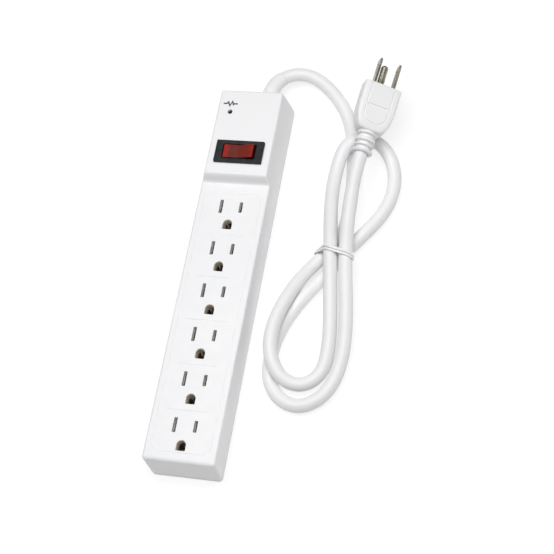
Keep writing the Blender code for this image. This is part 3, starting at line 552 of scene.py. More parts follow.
def plastic(name, color, roughness, tone, sheen, grain, window=(0.3, 0.7), **sockets):
    """A finish from three noises.

    tone is (scale, detail, first colour, last colour), sheen (scale, detail, least and most
    roughness) and grain (scale, detail, strength, depth in metres).
    """
    look = Look(name, color, roughness)
    look.vary_color(look.noise(*tone[:2]), *window, *tone[2:])
    if sheen:
        look.vary_roughness(look.noise(*sheen[:2]), *sheen[2:])
    for socket, value in sockets.items():
        look.set(socket.replace("_", " "), value)
    return look, look.bump(look.noise(*grain[:2]), *grain[2:])


def white_case():
    """Satin moulded plastic: a fine spark-eroded grain, slow tone drift, faint flow streaks."""
    look, grain = plastic(
        "white_case", (0.80, 0.80, 0.81), 0.36,
        (14.0, 2.0, (0.785, 0.787, 0.80), (0.815, 0.815, 0.825)),
        (160.0, 4.0, 0.30, 0.42), (5200.0, 2.0, 0.10, 0.00004), Specular_IOR_Level=0.45)
    look.bump(look.noise(90.0, 2.0, look.stretched((1.0, 0.25, 1.0))), 0.05, 0.0002, grain)


def white_cord():
    """Soft PVC jacket: a slight sheen, pores, and the faint swell of the cores beneath."""
    look, swell = plastic(
        "white_cord", (0.80, 0.80, 0.80), 0.40,
        (22.0, 2.0, (0.775, 0.777, 0.785), (0.815, 0.815, 0.82)),
        (240.0, 3.0, 0.34, 0.48), (75.0, 1.0, 0.10, 0.0006), Specular_IOR_Level=0.45)
    look.bump(look.noise(3800.0, 2.0), 0.08, 0.00004, swell)


def rocker_red():
    """Dark translucent red over a ribbed diffuser, with painted light: lighter strips at both ends, a darker
    middle, and painted shade on the sides.
    """
    look = Look("rocker_red", (0.30, 0.022, 0.014), 0.3)
    spread = look.node("ShaderNodeSeparateXYZ")
    look.join(look.coords, spread.inputs["Vector"])
    along = look.range(spread.outputs["X"], -0.010, 0.010, 0.0, 1.0)
    cloud = look.noise(210.0, 3.0)
    blend = look.node("ShaderNodeMath", operation="ADD")
    look.join(along, blend.inputs[0])
    look.join(look.range(cloud, 0.3, 0.7, -0.06, 0.06), blend.inputs[1])
    # painted light and shade along the rocker's length: lighter strips at both ends, a darker middle
    painted_light_reds = look.ramp(
        blend.outputs["Value"], (0.05, (0.30, 0.016, 0.012)), (0.98, (0.28, 0.018, 0.010)),
        (0.13, (0.27, 0.018, 0.012)), (0.20, (0.13, 0.022, 0.015)),
        (0.52, (0.15, 0.021, 0.014)), (0.90, (0.20, 0.018, 0.011)),
    )
    # painted shade: faces that don't face up turn near-black, standing in for the shadowed gap round the rocker
    facing = look.node("ShaderNodeSeparateXYZ")
    look.join(look.tree.nodes["Texture Coordinate"].outputs["Normal"], facing.inputs["Vector"])
    painted_shade_sides = look.node("ShaderNodeMix", data_type="RGBA")
    painted_shade_sides.inputs["A"].default_value = (0.035, 0.006, 0.005, 1.0)
    look.join(look.range(facing.outputs["Z"], 0.35, 0.85, 0.0, 1.0), painted_shade_sides.inputs["Factor"])
    look.join(painted_light_reds, painted_shade_sides.inputs["B"])
    look.join(painted_shade_sides.outputs["Result"], look.shader.inputs["Base Color"])
    look.vary_roughness(look.noise(300.0, 2.0), 0.40, 0.55)
    look.bump(look.noise(900.0, 2.0), 0.08, 0.0001)
    look.set("Specular IOR Level", 0.12)


def rolled_metal(name, color, dark, roughness, metallic=1.0):
    """Strip metal with rolling lines, small stains and a worn sheen."""
    look = Look(name, color, roughness, metallic)
    look.vary_color(look.noise(190.0, 4.0), 0.32, 0.68, dark, color)
    lines = look.noise(700.0, 4.0, look.stretched((1.0, 0.06, 1.0)))
    look.vary_roughness(lines, roughness - 0.08, roughness + 0.14)
    look.bump(lines, 0.16, 0.00005)


def plain_plastic(name, color, darker, roughness, grain=1500.0):
    plastic(
        name, color, roughness, (grain / 6, 3.0, darker, color),
        (grain / 3, 3.0, roughness - 0.06, roughness + 0.1), (grain, 2.0, 0.12, 0.00005),
    )


def lamp_glass():
    look = Look("lamp_glass", (0.95, 0.75, 0.6), 0.06)
    look.set("Transmission Weight", 0.85)
    look.set("IOR", 1.48)
    look.vary_roughness(look.noise(600.0, 2.0), 0.04, 0.10)
    look.bump(look.noise(400.0, 1.0), 0.05, 0.0001)


def floor_look():
    look = Look("floor_paper", (0.30, 0.30, 0.30), 0.85)
    look.vary_color(look.noise(6.0, 2.0), 0.3, 0.7, (0.295, 0.295, 0.295), (0.305, 0.305, 0.305))
    look.set("Specular IOR Level", 0.0)
    look.set("Emission Color", (1.0, 1.0, 1.0, 1.0))
    look.set("Emission Strength", 0.72)


white_case()
white_cord()
rocker_red()
lamp_glass()
floor_look()
rolled_metal("brass", (0.56, 0.49, 0.38), (0.30, 0.25, 0.18), 0.32)
rolled_metal("blade_metal", (0.46, 0.43, 0.36), (0.20, 0.18, 0.14), 0.30)
rolled_metal("steel", (0.62, 0.62, 0.61), (0.42, 0.42, 0.42), 0.34)
rolled_metal("contact_metal", (0.86, 0.80, 0.70), (0.60, 0.52, 0.42), 0.44, 0.35)
plastic(
    "dark_bezel", (0.014, 0.015, 0.017), 0.42,
    (260.0, 3.0, (0.008, 0.009, 0.011), (0.018, 0.019, 0.022)),
    (420.0, 3.0, 0.34, 0.52), (6000.0, 2.0, 0.22, 0.00005), (0.35, 0.65), Specular_IOR_Level=0.2)
plastic(
    "indicator", (0.02, 0.008, 0.008), 0.3,
    (800.0, 2.0, (0.012, 0.005, 0.005), (0.03, 0.010, 0.009)),
    (900.0, 2.0, 0.3, 0.45), (1500.0, 1.0, 0.05, 0.00005), Specular_IOR_Level=0.12)
plastic(
    "mark_ink", (0.05, 0.05, 0.055), 0.6,
    (2500.0, 3.0, (0.035, 0.035, 0.04), (0.08, 0.08, 0.085)), None, (4000.0, 2.0, 0.1, 0.00003))
plastic(
    "tie_plastic", (0.80, 0.80, 0.81), 0.30, (120.0, 3.0, (0.77, 0.77, 0.78), (0.83, 0.83, 0.835)),
    (500.0, 3.0, 0.24, 0.38), (900.0, 3.0, 0.10, 0.0001), Coat_Weight=0.3)
plain_plastic("board", (0.08, 0.27, 0.13), (0.05, 0.19, 0.09), 0.45, 900.0)
plain_plastic("varistor_blue", (0.06, 0.16, 0.50), (0.04, 0.11, 0.38), 0.3)
plain_plastic("fuse", (0.76, 0.73, 0.63), (0.66, 0.62, 0.52), 0.5)
plain_plastic("black_wire", (0.03, 0.03, 0.032), (0.02, 0.02, 0.022), 0.42)
plain_plastic("white_wire", (0.80, 0.80, 0.78), (0.72, 0.72, 0.70), 0.42)
plain_plastic("green_wire", (0.05, 0.34, 0.11), (0.03, 0.25, 0.08), 0.42)


def dress_carried_nodes():
    """Gives every CAD node that stays the finish of its slot."""
    for entry in frame["record"]["subparts"]:
        node = NODES[entry["node"]]
        node.data.materials.clear()
        node.data.materials.append(LOOKS[entry["material_slot"]])


# ------ case

COVER_LOW, COVER_HIGH = box_mm("top_cover")
BASE_LOW, BASE_HIGH = box_mm("base_cover")
HALF_LENGTH = COVER_HIGH.y
NEAR_TOP = HALF_LENGTH - NEAR_DRAFT
FAR_TOP = HALF_LENGTH - FAR_DRAFT
RIM_HALF = BASE_HIGH.x
RIM_Z = COVER_LOW.z
HIGH_TOP = COVER_HIGH.z
MOUNTS = {mount["name"]: mount for mount in frame["record"]["mounts"]}
LOW_TOP = MOUNTS["outlet_1"]["pos_m"][2] / MM
OUTLET_YS = [
    MOUNTS[name]["pos_m"][1] / MM for name in sorted(MOUNTS) if name.startswith("outlet_")
]
SCREWS = [f"case_screw_{number}" for number in range(1, 5)]


def rise(y):
    """0 on the outlet deck, 1 on the switch deck, and the ramp with its fillets between."""
    u = min(max((y - STEP_START) / (STEP_END - STEP_START), 0.0), 1.0)
    slope = 1 / (1 - STEP_FILLET)
    if u < STEP_FILLET:
        return slope * u * u / (2 * STEP_FILLET)
    if u > 1 - STEP_FILLET:
        return 1 - slope * (1 - u) ** 2 / (2 * STEP_FILLET)
    return slope * (u - STEP_FILLET / 2)


def top_height(y):
    return mix(LOW_TOP, HIGH_TOP, rise(y))


def half_width(y, level):
    return mix(RIM_HALF, mix(LOW_HALF, HIGH_HALF, rise(y)), level)


def step_stations():
    """Y positions through the ramp, close together in its two fillets."""
    ends = [i * STEP_FILLET / 6 for i in range(7)]
    shares = ends + [0.5] + [1 - share for share in reversed(ends)]
    return [mix(STEP_START, STEP_END, share) for share in shares]


def case_ring(level_of, inset, lift=0.0, near_stretch=1.0):
    """One outline of the case. level_of gives 0 at the rim and 1 at the top edge for each Y."""
    near_level = level_of(-NEAR_TOP)
    far_level = level_of(FAR_TOP)
    near = -mix(HALF_LENGTH, NEAR_TOP, near_level) + inset * near_stretch
    far = mix(HALF_LENGTH, FAR_TOP, far_level) - inset
    near_radius = max(mix(RIM_CORNER, TOP_CORNER, near_level) - inset, LEAST_CORNER)
    far_radius = max(mix(FAR_RIM_CORNER, TOP_CORNER, far_level) - inset, LEAST_CORNER)
    near_half = half_width(near, near_level) - inset
    far_half = half_width(far, far_level) - inset
    side = arc((near_half - near_radius, near + near_radius), near_radius, -90, 0, 8)
    side += [(half_width(y, level_of(y)) - inset, y) for y in step_stations()]
    side += arc((far_half - far_radius, far - far_radius), far_radius, 0, 90, 8)
    right = [Vector((x, y, mix(RIM_Z, top_height(y), level_of(y)) + lift)) for x, y in side]
    left = [Vector((-p.x, p.y, p.z)) for p in reversed(right)]
    return right + left


def case_body(rings):
    """A closed body through the rings whose stepped top is filled from side to side."""
    mesh = bmesh.new()
    rows, _ = stitch(mesh, rings)
    mesh.faces.new(rows[0][::-1])
    top = rows[-1]
    for i in range(len(top) // 2 - 1):
        mesh.faces.new((top[i], top[i + 1], top[-2 - i], top[-1 - i]))
    bmesh.ops.recalc_face_normals(mesh, faces=mesh.faces)
    return mesh


def below_top(drop):
    return lambda y: 1 - drop / (top_height(y) - RIM_Z)


def at_rim(y):
    return 0.0


def rounded_edge(radius, steps):
    """(drop, inset) pairs round a quarter circle, from the wall to the top face."""
    return [(radius * (1 - b), radius * (1 - a)) for a, b in arc((0, 0), 1.0, 0, 90, steps)]


def flared_cutter(mesh, outline_at, top, bottom):
    """A through cutter that widens into a small chamfer at the surface."""
    heights = ((bottom, 0.0), (top - CHAMFER, 0.0), (top - CHAMFER * 0.3, CHAMFER * 0.35),
               (top + 0.02, CHAMFER), (top + CUT_MARGIN, CHAMFER))
    add_rings(mesh, [at_height(outline_at(grow), z) for z, grow in heights])


def slot_outline(centre, length):
    return lambda grow: centred_rectangle(
        centre, SLOT_WIDTH / 2 + grow, length / 2 + grow, SLOT_CORNER + grow, 3)


def ground_outline(centre):
    """The D-shaped ground hole: round away from the near end, with a straight near side."""
    soft = 0.5

    def outline(grow):
        radius = GROUND_RADIUS + grow
        corner_y = centre + GROUND_FLAT - grow + soft
        points = arc((0, centre + GROUND_ROUND), radius, 0, 180, 20)
        points += arc((-radius + soft, corner_y), soft, 180, 270, 4)
        return points + arc((radius - soft, corner_y), soft, 270, 360, 4)
    return outline


def outlet_openings():
    mesh = bmesh.new()
    low = LOW_TOP - GUIDE_DEPTH - CUT_MARGIN
    for y in OUTLET_YS:
        for side, length in SLOT_LENGTHS.items():
            centre = (side * BLADE_HALF_SPACING, y)
            flared_cutter(mesh, slot_outline(centre, length), LOW_TOP, low)
        flared_cutter(mesh, ground_outline(y - GROUND_OFFSET), LOW_TOP, low)
    return mesh


def slot_guides():
    """Moulded walls under the deck that lead each blade to its contact."""
    mesh = bmesh.new()
    half_x = SLOT_WIDTH / 2 + GUIDE_WALL
    for y in OUTLET_YS:
        for side, length in SLOT_LENGTHS.items():
            half_y = length / 2 + GUIDE_WALL
            x = side * BLADE_HALF_SPACING
            low = (x - half_x, y - half_y, LOW_TOP - GUIDE_DEPTH)
            add_box(mesh, low, (x + half_x, y + half_y, LOW_TOP - WALL / 2))
    return mesh


def deck_grooves():
    z = LOW_TOP + GROOVE_RADIUS * 0.35
    mesh = bmesh.new()
    border = rounded_rectangle(*BORDER, BORDER_RADIUS, 10)
    add_groove(mesh, [Vector((x, y, z)) for x, y in border], GROOVE_RADIUS, closed=True)
    for before, after in zip(OUTLET_YS, OUTLET_YS[1:]):
        y = (before + after - GROUND_OFFSET) / 2 + SEPARATOR_SHIFT
        line = [Vector((x, y, z)) for x in (-SEPARATOR_HALF, 0, SEPARATOR_HALF)]
        add_groove(mesh, line, GROOVE_RADIUS)
    return mesh


def deck_openings():
    """Cutters for the switch, the indicator and the cord."""
    openings = bmesh.new()
    low, high = DECK_CUT
    half_x, half_y = SWITCH_OPENING
    middle = centre_of("switch_housing")[1]
    add_box(openings, (-half_x, middle - half_y, low), (half_x, middle + half_y, high))
    box_low, box_high = box_mm("surge_led")
    radius = (box_high.x - box_low.x) / 2 + INDICATOR_GAP
    profile = [
        (radius + 0.5, HIGH_TOP + CUT_MARGIN), (radius + 0.3, HIGH_TOP), (radius, HIGH_TOP - 0.35),
        (radius, low),
    ]
    turned(openings, profile, 40, centre_of("surge_led"))
    add_rod(openings, *exit_line(RELIEF_HOLE_YS), RELIEF_HOLE_RADIUS, 48)
    return openings


def exit_line(ys):
    """Two points on the cord's straight line through the far wall."""
    x, z = ROUTE[0][0] / MM, ROUTE[0][2] / MM
    return [(x, y, z) for y in ys]


def build_top_cover():
    rings = [case_ring(at_rim, SEAM_CHAMFER), case_ring(at_rim, 0.0, SEAM_CHAMFER)]
    for drop, inset in rounded_edge(EDGE_RADIUS, 7):
        rings.append(case_ring(below_top(drop), inset, near_stretch=NEAR_EDGE_STRETCH))
    cover = place("top_cover_shell", case_body(rings), LOOKS["white_case"])
    cavity = case_body([
        case_ring(at_rim, WALL, -3 * CUT_MARGIN), case_ring(at_rim, WALL),
        case_ring(below_top(WALL), WALL),
    ])
    boolean(cover, cavity, "DIFFERENCE")
    boolean(cover, slot_guides(), "UNION")
    for cutter in (outlet_openings(), deck_grooves(), deck_openings()):
        boolean(cover, cutter, "DIFFERENCE")
    smooth(cover)
    settle(cover, "top_cover")


def build_ground_sleeve(number, y):
    """A sheet-metal ground contact that lines its hole under the deck, with a flared top."""
    outline = ground_outline(y - GROUND_OFFSET)
    top = LOW_TOP - SLEEVE_DROP
    low = LOW_TOP - SLEEVE_DEPTH
    outside = ((low, -SLEEVE_GAP), (top - 0.5, -SLEEVE_GAP), (top, -0.02))
    body = loft([at_height(outline(grow), z) for z, grow in outside])
    sleeve = place(f"ground_contact_{number}", body, LOOKS["contact_metal"])
    inside = (
        (low - CUT_MARGIN, -SLEEVE_WALL), (top - 1.6, -SLEEVE_WALL), (top + 0.05, -SLEEVE_MOUTH),
        (top + CUT_MARGIN, -SLEEVE_MOUTH),
    )
    boolean(sleeve, loft([at_height(outline(grow), z) for z, grow in inside]), "DIFFERENCE")
    smooth(sleeve)
    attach(sleeve, BODY)


def keyhole_outline(y):
    corner = math.degrees(math.acos(KEYHOLE_NECK / KEYHOLE_HEAD))
    outline = arc((0, y), KEYHOLE_HEAD, 180 - corner, 360 + corner, 28)
    return outline + arc((0, y + KEYHOLE_RUN), KEYHOLE_NECK, 0, 180, 14)


def build_base_cover():
    """The tray under the case, with screw recesses, keyholes and a shallow moulded panel."""
    top = BASE_LOW.z + BASE_SIDE
    rings = []
    for drop, inset in reversed(rounded_edge(BASE_RADIUS, 8)):
        rings.append(case_ring(at_rim, inset, drop - RIM_Z))
    rings.append(case_ring(at_rim, 0.0, top - SEAM_CHAMFER - RIM_Z))
    rings.append(case_ring(at_rim, SEAM_CHAMFER, top - RIM_Z))
    base = place("base_cover_tray", loft(rings), LOOKS["white_case"])
    lip = loft([case_ring(at_rim, LIP_INSET, z - RIM_Z) for z in (top - 1, LIP_TOP)])
    boolean(base, lip, "UNION")
    well_zs = (top, LIP_TOP + 3 * CUT_MARGIN)
    well = loft([case_ring(at_rim, LIP_INSET + LIP_WALL, z - RIM_Z) for z in well_zs])
    boolean(base, well, "DIFFERENCE")
    holes = bmesh.new()
    shanks = bmesh.new()
    for name in SCREWS:
        x, y = centre_of(name)
        turned(holes, SCREW_WELL_PROFILE, 48, (x, y))
        add_rod(shanks, *[(x, y, z) for z in SHANK_HOLE_ZS], SHANK_HOLE_RADIUS)
    for name in ("keyhole_near", "keyhole_far"):
        y = MOUNTS[name]["pos_m"][1] / MM
        add_rings(shanks, [at_height(keyhole_outline(y), z) for z in (-CUT_MARGIN, 4)])
    panel = [
        at_height(centred_rectangle((0, PANEL_MIDDLE), half, PANEL_LONGER + half, corner, 8), z)
        for half, corner, z in PANEL_STEPS
    ]
    for cutter in (holes, shanks, loft(panel)):
        boolean(base, cutter, "DIFFERENCE")
    smooth(base)
    settle(base, "base_cover")


def build_screws():
    """Pan heads with a cross recess, seen in their wells from below."""
    half_length, half_width, low, high = CROSS_ARM
    for number, name in enumerate(SCREWS, 1):
        x, y = centre_of(name)
        body = turned(bmesh.new(), SCREW_PROFILE, 40, (x, y))
        screw = place(f"{name}_cross_head", body, LOOKS["steel"])
        for quarter in (0, math.pi / 2):
            turn = Matrix.Rotation(math.radians(25 * number) + quarter, 3, "Z")
            arm = bmesh.new()
            add_box(arm, (-half_length, -half_width, low), (half_length, half_width, high))
            bmesh.ops.rotate(arm, verts=arm.verts, cent=(0, 0, 0), matrix=turn)
            bmesh.ops.translate(arm, verts=arm.verts, vec=(x, y, 0))
            boolean(screw, arm, "DIFFERENCE")
        smooth(screw)
        settle(screw, name)


# ------ switch and indicator

def build_bezel():
    low, high = box_mm("switch_housing")
    centre = (0, (low.y + high.y) / 2)
    half_x, half_y = high.x, (high.y - low.y) / 2
    bottom = HIGH_TOP + 0.05
    top = high.z
    body_x, body_y = SWITCH_BODY
    body = bmesh.new()
    start = (-body_x, centre[1] - body_y, low.z)
    add_box(body, start, (body_x, centre[1] + body_y, DECK_CUT[1]))
    bezel = place("switch_bezel", body, LOOKS["dark_bezel"])
    steps = ((0.1, bottom), (0.0, bottom + 0.1), (0.0, top - 0.35), (0.06, top - 0.15),
             (0.16, top - 0.05), (0.32, top))
    flange = [
        at_height(centred_rectangle(centre, half_x - inset, half_y - inset, SWITCH_CORNER, 6), z)
        for inset, z in steps
    ]
    boolean(bezel, loft(flange), "UNION")
    well_x, well_y = SWITCH_WELL
    sizes = ((SWITCH_WELL_BOTTOM, 0.0), (top - 0.5, 0.0), (top - 0.15, 0.12), (top + 0.01, 0.5),
             (top + CUT_MARGIN, 0.5))
    well = []
    for z, grow in sizes:
        outline = centred_rectangle(centre, well_x + grow, well_y + grow, SWITCH_CORNER + grow, 5)
        well.append(at_height(outline, z))
    boolean(bezel, loft(well), "DIFFERENCE")
    smooth(bezel)
    settle(bezel, "switch_housing")


def build_rocker():
    """The rocker in its own level frame about the pivot, tilted to its rest position."""
    joint = next(joint for joint in frame["joints"] if joint["name"] == "switch_rock")
    pivot = Vector(joint["pos_m"])
    heights = [mix(ROCKER_END_HEIGHT, ROCKER_END_BOTTOM, i / 10) for i in range(11)]
    right = [(math.sqrt(ROCKER_END_RADIUS ** 2 - h * h), h) for h in heights]
    reach = right[0][0]
    crown = [(x, mix(ROCKER_MIDDLE, ROCKER_END_HEIGHT, x / reach)) for x in ROCKER_CROWN_XS]
    half = [*crown, *right, *ROCKER_UNDERSIDE]
    outline = [(0.0, ROCKER_MIDDLE + 0.05)] + half + [(-x, z) for x, z in reversed(half)]
    sides = (-ROCKER_WIDTH / 2, ROCKER_WIDTH / 2)
    body = loft([[(x, y, z) for x, z in outline] for y in sides])
    tilt = Matrix.Rotation(math.radians(ROCKER_REST_TILT), 4, "Y")
    rocker = place("rocker_key", body, LOOKS["rocker_red"], Matrix.Translation(pivot) @ tilt)
    bevel(rocker, 0.45, 4, 40)
    smooth(rocker, 40)
    settle(rocker, "switch_rocker", body="rocker")


def build_indicator():
    """A domed lens with a rim under the deck, on two legs."""
    low, high = box_mm("surge_led")
    x, y = centre_of("surge_led")
    radius = (high.x - low.x) / 2
    rim = radius + INDICATOR_RIM
    above, top, bottom = INDICATOR_RIM_ZS
    profile = dome(radius, high.z - radius, radius)
    profile += [(radius, above), (rim, top), (rim, bottom), (0.01, bottom)]
    body = turned(bmesh.new(), profile, 40, (x, y))
    lens = place("indicator_lens", body, LOOKS["indicator"])
    legs = bmesh.new()
    for leg in (x - LEG_REACH, x + LEG_REACH):
        start = (leg - LEG_HALF, y - LEG_HALF, low.z)
        add_box(legs, start, (leg + LEG_HALF, y + LEG_HALF, LEG_TOP))
    boolean(lens, legs, "UNION")
    smooth(lens, 40)
    settle(lens, "surge_led")


def build_mark():
    """A generic printed mark by the indicator: a surge drawn as a spike on a line."""
    line = [Vector(point) for point in MARK_LINE]
    runs = [(after - before).normalized() for before, after in zip(line, line[1:])]
    low = HIGH_TOP - 0.03
    high = HIGH_TOP + 0.02
    rings = []
    for here, first, second in zip(line, runs[:1] + runs, runs + runs[-1:]):
        middle = (first + second).normalized()
        across = Vector((-middle.y, middle.x))
        reach = MARK_HALF_LINE / max(across.dot(Vector((-first.y, first.x))), 0.5)
        centre = here + Vector(MARK_CENTRE)
        right = centre - across * reach
        left = centre + across * reach
        rings.append([(*right, low), (*left, low), (*left, high), (*right, high)])
    mark = place("surge_mark", loft(rings), LOOKS["mark_ink"])
    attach(mark, BODY)


# ------ cord, plug and tie

def build_cord(dense, along):
    first = (RELIEF_LENGTH + CORD_GAP) * MM
    last = along[-1] - (PLUG_END - 0.25) * MM
    points = stretch(dense, along, np.linspace(first, last, 300))
    jacket = tube("power_cord_jacket", points, CORD_RADIUS, LOOKS["white_cord"])
    return settle(jacket, "power_cord"), points


def relief_radius(mark):
    """Radius of the case's relief at a distance along the cord, with a soft lip at its tail."""
    radius = RELIEF_ROOT_RADIUS
    if mark >= RELIEF_STRAIGHT:
        share = (mark - RELIEF_STRAIGHT) / (RELIEF_LENGTH - RELIEF_STRAIGHT)
        radius = mix(RELIEF_ROOT_RADIUS, RELIEF_TAIL_RADIUS, share)
    return radius - round_off(RELIEF_LENGTH - mark, RELIEF_LIP, RELIEF_LIP_DROP)


def build_cord_relief(dense, along):
    """The tapered sleeve at the case, with a flange behind the far wall."""
    marks = np.linspace(RELIEF_START, RELIEF_LENGTH, 60)
    points = stretch(dense, along, marks * MM)
    radii = [relief_radius(mark) for mark in marks]
    name = "cord_relief_sleeve"
    sleeve = tube(name, points, RELIEF_ROOT_RADIUS, LOOKS["white_cord"], radii)
    data = evaluated_mesh(sleeve)
    bpy.data.objects.remove(sleeve, do_unlink=True)
    mesh = bmesh.new()
    mesh.from_mesh(data)
    bmesh.ops.remove_doubles(mesh, verts=mesh.verts, dist=0.000001)
    bmesh.ops.scale(mesh, vec=(1 / MM, 1 / MM, 1 / MM), verts=mesh.verts)
    relief = place(name, mesh, LOOKS["white_cord"])
    flange = bmesh.new()
    add_rod(flange, *exit_line(FLANGE_YS), FLANGE_RADIUS, 48)
    boolean(relief, flange, "UNION")
    smooth(relief, 40)
    return settle(relief, "cord_strain_relief")


def plug_matrix():
    """The plug's frame: X across the blades, Y towards the tips, Z out of the broad face."""
    turn = (
        Matrix.Rotation(math.radians(-PLUG_YAW), 4, "Z")
        @ Matrix.Rotation(math.radians(PLUG_PITCH), 4, "X")
        @ Matrix.Rotation(math.radians(PLUG_ROLL), 4, "Y")
    )
    return Matrix.Translation(Vector(PLUG_ORIGIN) * MM) @ turn


def plug_axis_matrix(z):
    """A frame in the plug whose Z points along it to the tips, moved out by z."""
    shift = Matrix.Translation(Vector((0, 0, z)) * MM)
    return plug_matrix() @ shift @ Matrix.Rotation(math.radians(-90), 4, "X")


def plug_section(y):
    """(half-width, top, bottom, blend to an ellipse) of the plug at a distance along it."""
    if y > PLUG_SHOULDER:
        inset = round_off(-y, PLUG_FACE_RADIUS, PLUG_FACE_RADIUS)
        return PLUG_HALF_WIDTH - inset, PLUG_TOP - inset, PLUG_BOTTOM + inset, 0.0
    turn = math.asin(min((PLUG_SHOULDER - y) / (PLUG_LENGTH + PLUG_SHOULDER), 1.0))
    share = math.cos(turn)
    half = mix(PLUG_NECK, PLUG_HALF_WIDTH, share)
    top = mix(PLUG_CORD_Z + PLUG_NECK, PLUG_TOP, share)
    bottom = mix(PLUG_CORD_Z - PLUG_NECK, PLUG_BOTTOM, share)
    return half, top, bottom, 1 - share


def plug_point(y, angle):
    half, top, bottom, blend = plug_section(y)
    centre = mix(PLUG_WIDEST_Z, PLUG_CORD_Z, blend)
    power = mix(PLUG_TOP_POWER if angle < math.pi else PLUG_BOTTOM_POWER, 2.0, blend)
    x = math.cos(angle)
    z = math.sin(angle)
    reach = (abs(x) ** power + abs(z) ** power) ** (-1 / power)
    height = (top - centre) if z > 0 else (centre - bottom)
    return half * reach * x, y, centre + height * reach * z


def plug_surface_z(x, y):
    """Height of the plug's broad face above its frame at a place on it."""
    half, top, _, blend = plug_section(y)
    centre = mix(PLUG_WIDEST_Z, PLUG_CORD_Z, blend)
    power = mix(PLUG_TOP_POWER, 2.0, blend)
    return centre + (top - centre) * (1 - min(abs(x) / half, 0.999) ** power) ** (1 / power)


def plug_groove(points, radius):
    """A groove cutter that follows the plug's broad face."""
    mesh = bmesh.new()
    centres = [Vector((x, y, plug_surface_z(x, y) + radius * 0.3)) for x, y in points]
    add_groove(mesh, centres, radius)
    return mesh


def build_plug_body():
    count = 120
    stations = [PLUG_FACE_RADIUS * (math.cos(math.radians(a)) - 1) for a in (0, 22, 45, 67, 90)]
    stations += [-4.0, -8.0, -11.0, PLUG_SHOULDER]
    for angle in range(6, 91, 6):
        stations.append(mix(PLUG_SHOULDER, -PLUG_LENGTH, math.sin(math.radians(angle))))
    rings = []
    for y in stations:
        rings.append([plug_point(y, 2 * math.pi * (i + 0.5) / count) for i in range(count)])
    plug = place("plug_shell", loft(rings), LOOKS["white_cord"], plug_matrix())
    bend_x = CONTOUR_HALF - CONTOUR_BEND
    contour = [(CONTOUR_HALF, y) for y in CONTOUR_YS]
    contour += arc((bend_x, CONTOUR_BEND_Y), CONTOUR_BEND, 0, -90, 10)
    contour += arc((-bend_x, CONTOUR_BEND_Y), CONTOUR_BEND, -90, -180, 10)
    contour += [(-CONTOUR_HALF, y) for y in reversed(CONTOUR_YS)]
    boolean(plug, plug_groove(contour, CONTOUR_RADIUS), "DIFFERENCE")
    boolean(plug, plug_groove([(x, BAR_Y) for x in BAR_XS], BAR_RADIUS), "DIFFERENCE")
    sockets = bmesh.new()
    deep = -PIN_ROOT - 0.5
    half_x = BLADE_THICKNESS / 2 + PIN_GAP
    half_z = BLADE_WIDTH / 2 + PIN_GAP
    for x in (-BLADE_HALF_SPACING, BLADE_HALF_SPACING):
        low = (x - half_x, deep, BLADE_Z - half_z)
        add_box(sockets, low, (x + half_x, CUT_MARGIN, BLADE_Z + half_z))
    pin_ends = [(0, y, GROUND_PIN_Z) for y in (deep, CUT_MARGIN)]
    add_rod(sockets, *pin_ends, GROUND_PIN_RADIUS + PIN_GAP)
    boolean(plug, sockets, "DIFFERENCE")
    smooth(plug, 40)
    return settle(plug, "plug_body")


def neck_radius(mark):
    """Radius of the plug's neck at a distance from its face: ribs, then a rounded collar."""
    share = (mark - PLUG_LENGTH) / (PLUG_RELIEF_END - PLUG_LENGTH)
    radius = mix(NECK_ROOT_RADIUS, NECK_TAIL_RADIUS, share)
    for groove in NECK_GROOVES:
        away = abs(mark - groove) / NECK_GROOVE_HALF
        if away < 1.6:
            radius -= NECK_GROOVE_DEPTH * math.exp(-(away ** 4))
    if mark > COLLAR_START:
        radius = mix(radius, COLLAR_RADIUS, min(mark - COLLAR_START, 1.0))
    return radius - round_off(PLUG_RELIEF_END - mark, COLLAR_ROUND, COLLAR_DROP)


def build_plug_relief():
    """Ribbed neck of the plug: rounded rings with grooves between, and a collar at the end."""
    marks = np.linspace(PLUG_LENGTH - 0.6, PLUG_RELIEF_END, 150)
    inner = -PLUG_RELIEF_END + 1.2
    profile = [(0.01, -marks[0])] + [(neck_radius(mark), -mark) for mark in marks]
    profile += [(4.6, -PLUG_RELIEF_END), (4.5, inner), (0.01, inner)]
    body = turned(bmesh.new(), profile, 64)
    relief = place("plug_relief_neck", body, LOOKS["white_cord"], plug_axis_matrix(PLUG_CORD_Z))
    smooth(relief, 50)
    return settle(relief, "plug_strain_relief")


def build_blade(role, side):
    """A flat blade with a chamfered tip and a round hole."""
    x = side * BLADE_HALF_SPACING
    half = BLADE_WIDTH / 2
    thick = BLADE_THICKNESS / 2
    tip = BLADE_LENGTH
    upper = [(tip, half - 1.6), (tip - 0.4, half - 0.8), (tip - 1.6, half), (-PIN_ROOT, half)]
    outline = [(y, -z) for y, z in reversed(upper)] + upper
    body = loft([[(x + dx, y, BLADE_Z + z) for y, z in outline] for dx in (-thick, thick)])
    blade = place(f"plug_blade_{role}_finished", body, LOOKS["blade_metal"], plug_matrix())
    past = tip + CUT_MARGIN
    wedge = [(0.42, past), (0.42, tip), (0.78, tip - 1.7), (2.0, tip - 1.7), (2.0, past)]
    ends = (BLADE_Z - half - CUT_MARGIN, BLADE_Z + half + CUT_MARGIN)
    taper = bmesh.new()
    for painted_shade_sides in (-1, 1):
        add_rings(taper, [[(x + painted_shade_sides * dx, y, z) for dx, y in wedge] for z in ends])
    boolean(blade, taper, "DIFFERENCE")
    hole = bmesh.new()
    hole_ends = [(x + dx, BLADE_HOLE_Y, BLADE_Z) for dx in (-3, 3)]
    add_rod(hole, *hole_ends, BLADE_HOLE_RADIUS, 40)
    boolean(blade, hole, "DIFFERENCE")
    bevel(blade, 0.14, 2, 30)
    smooth(blade, 35)
    return settle(blade, f"plug_blade_{role}")


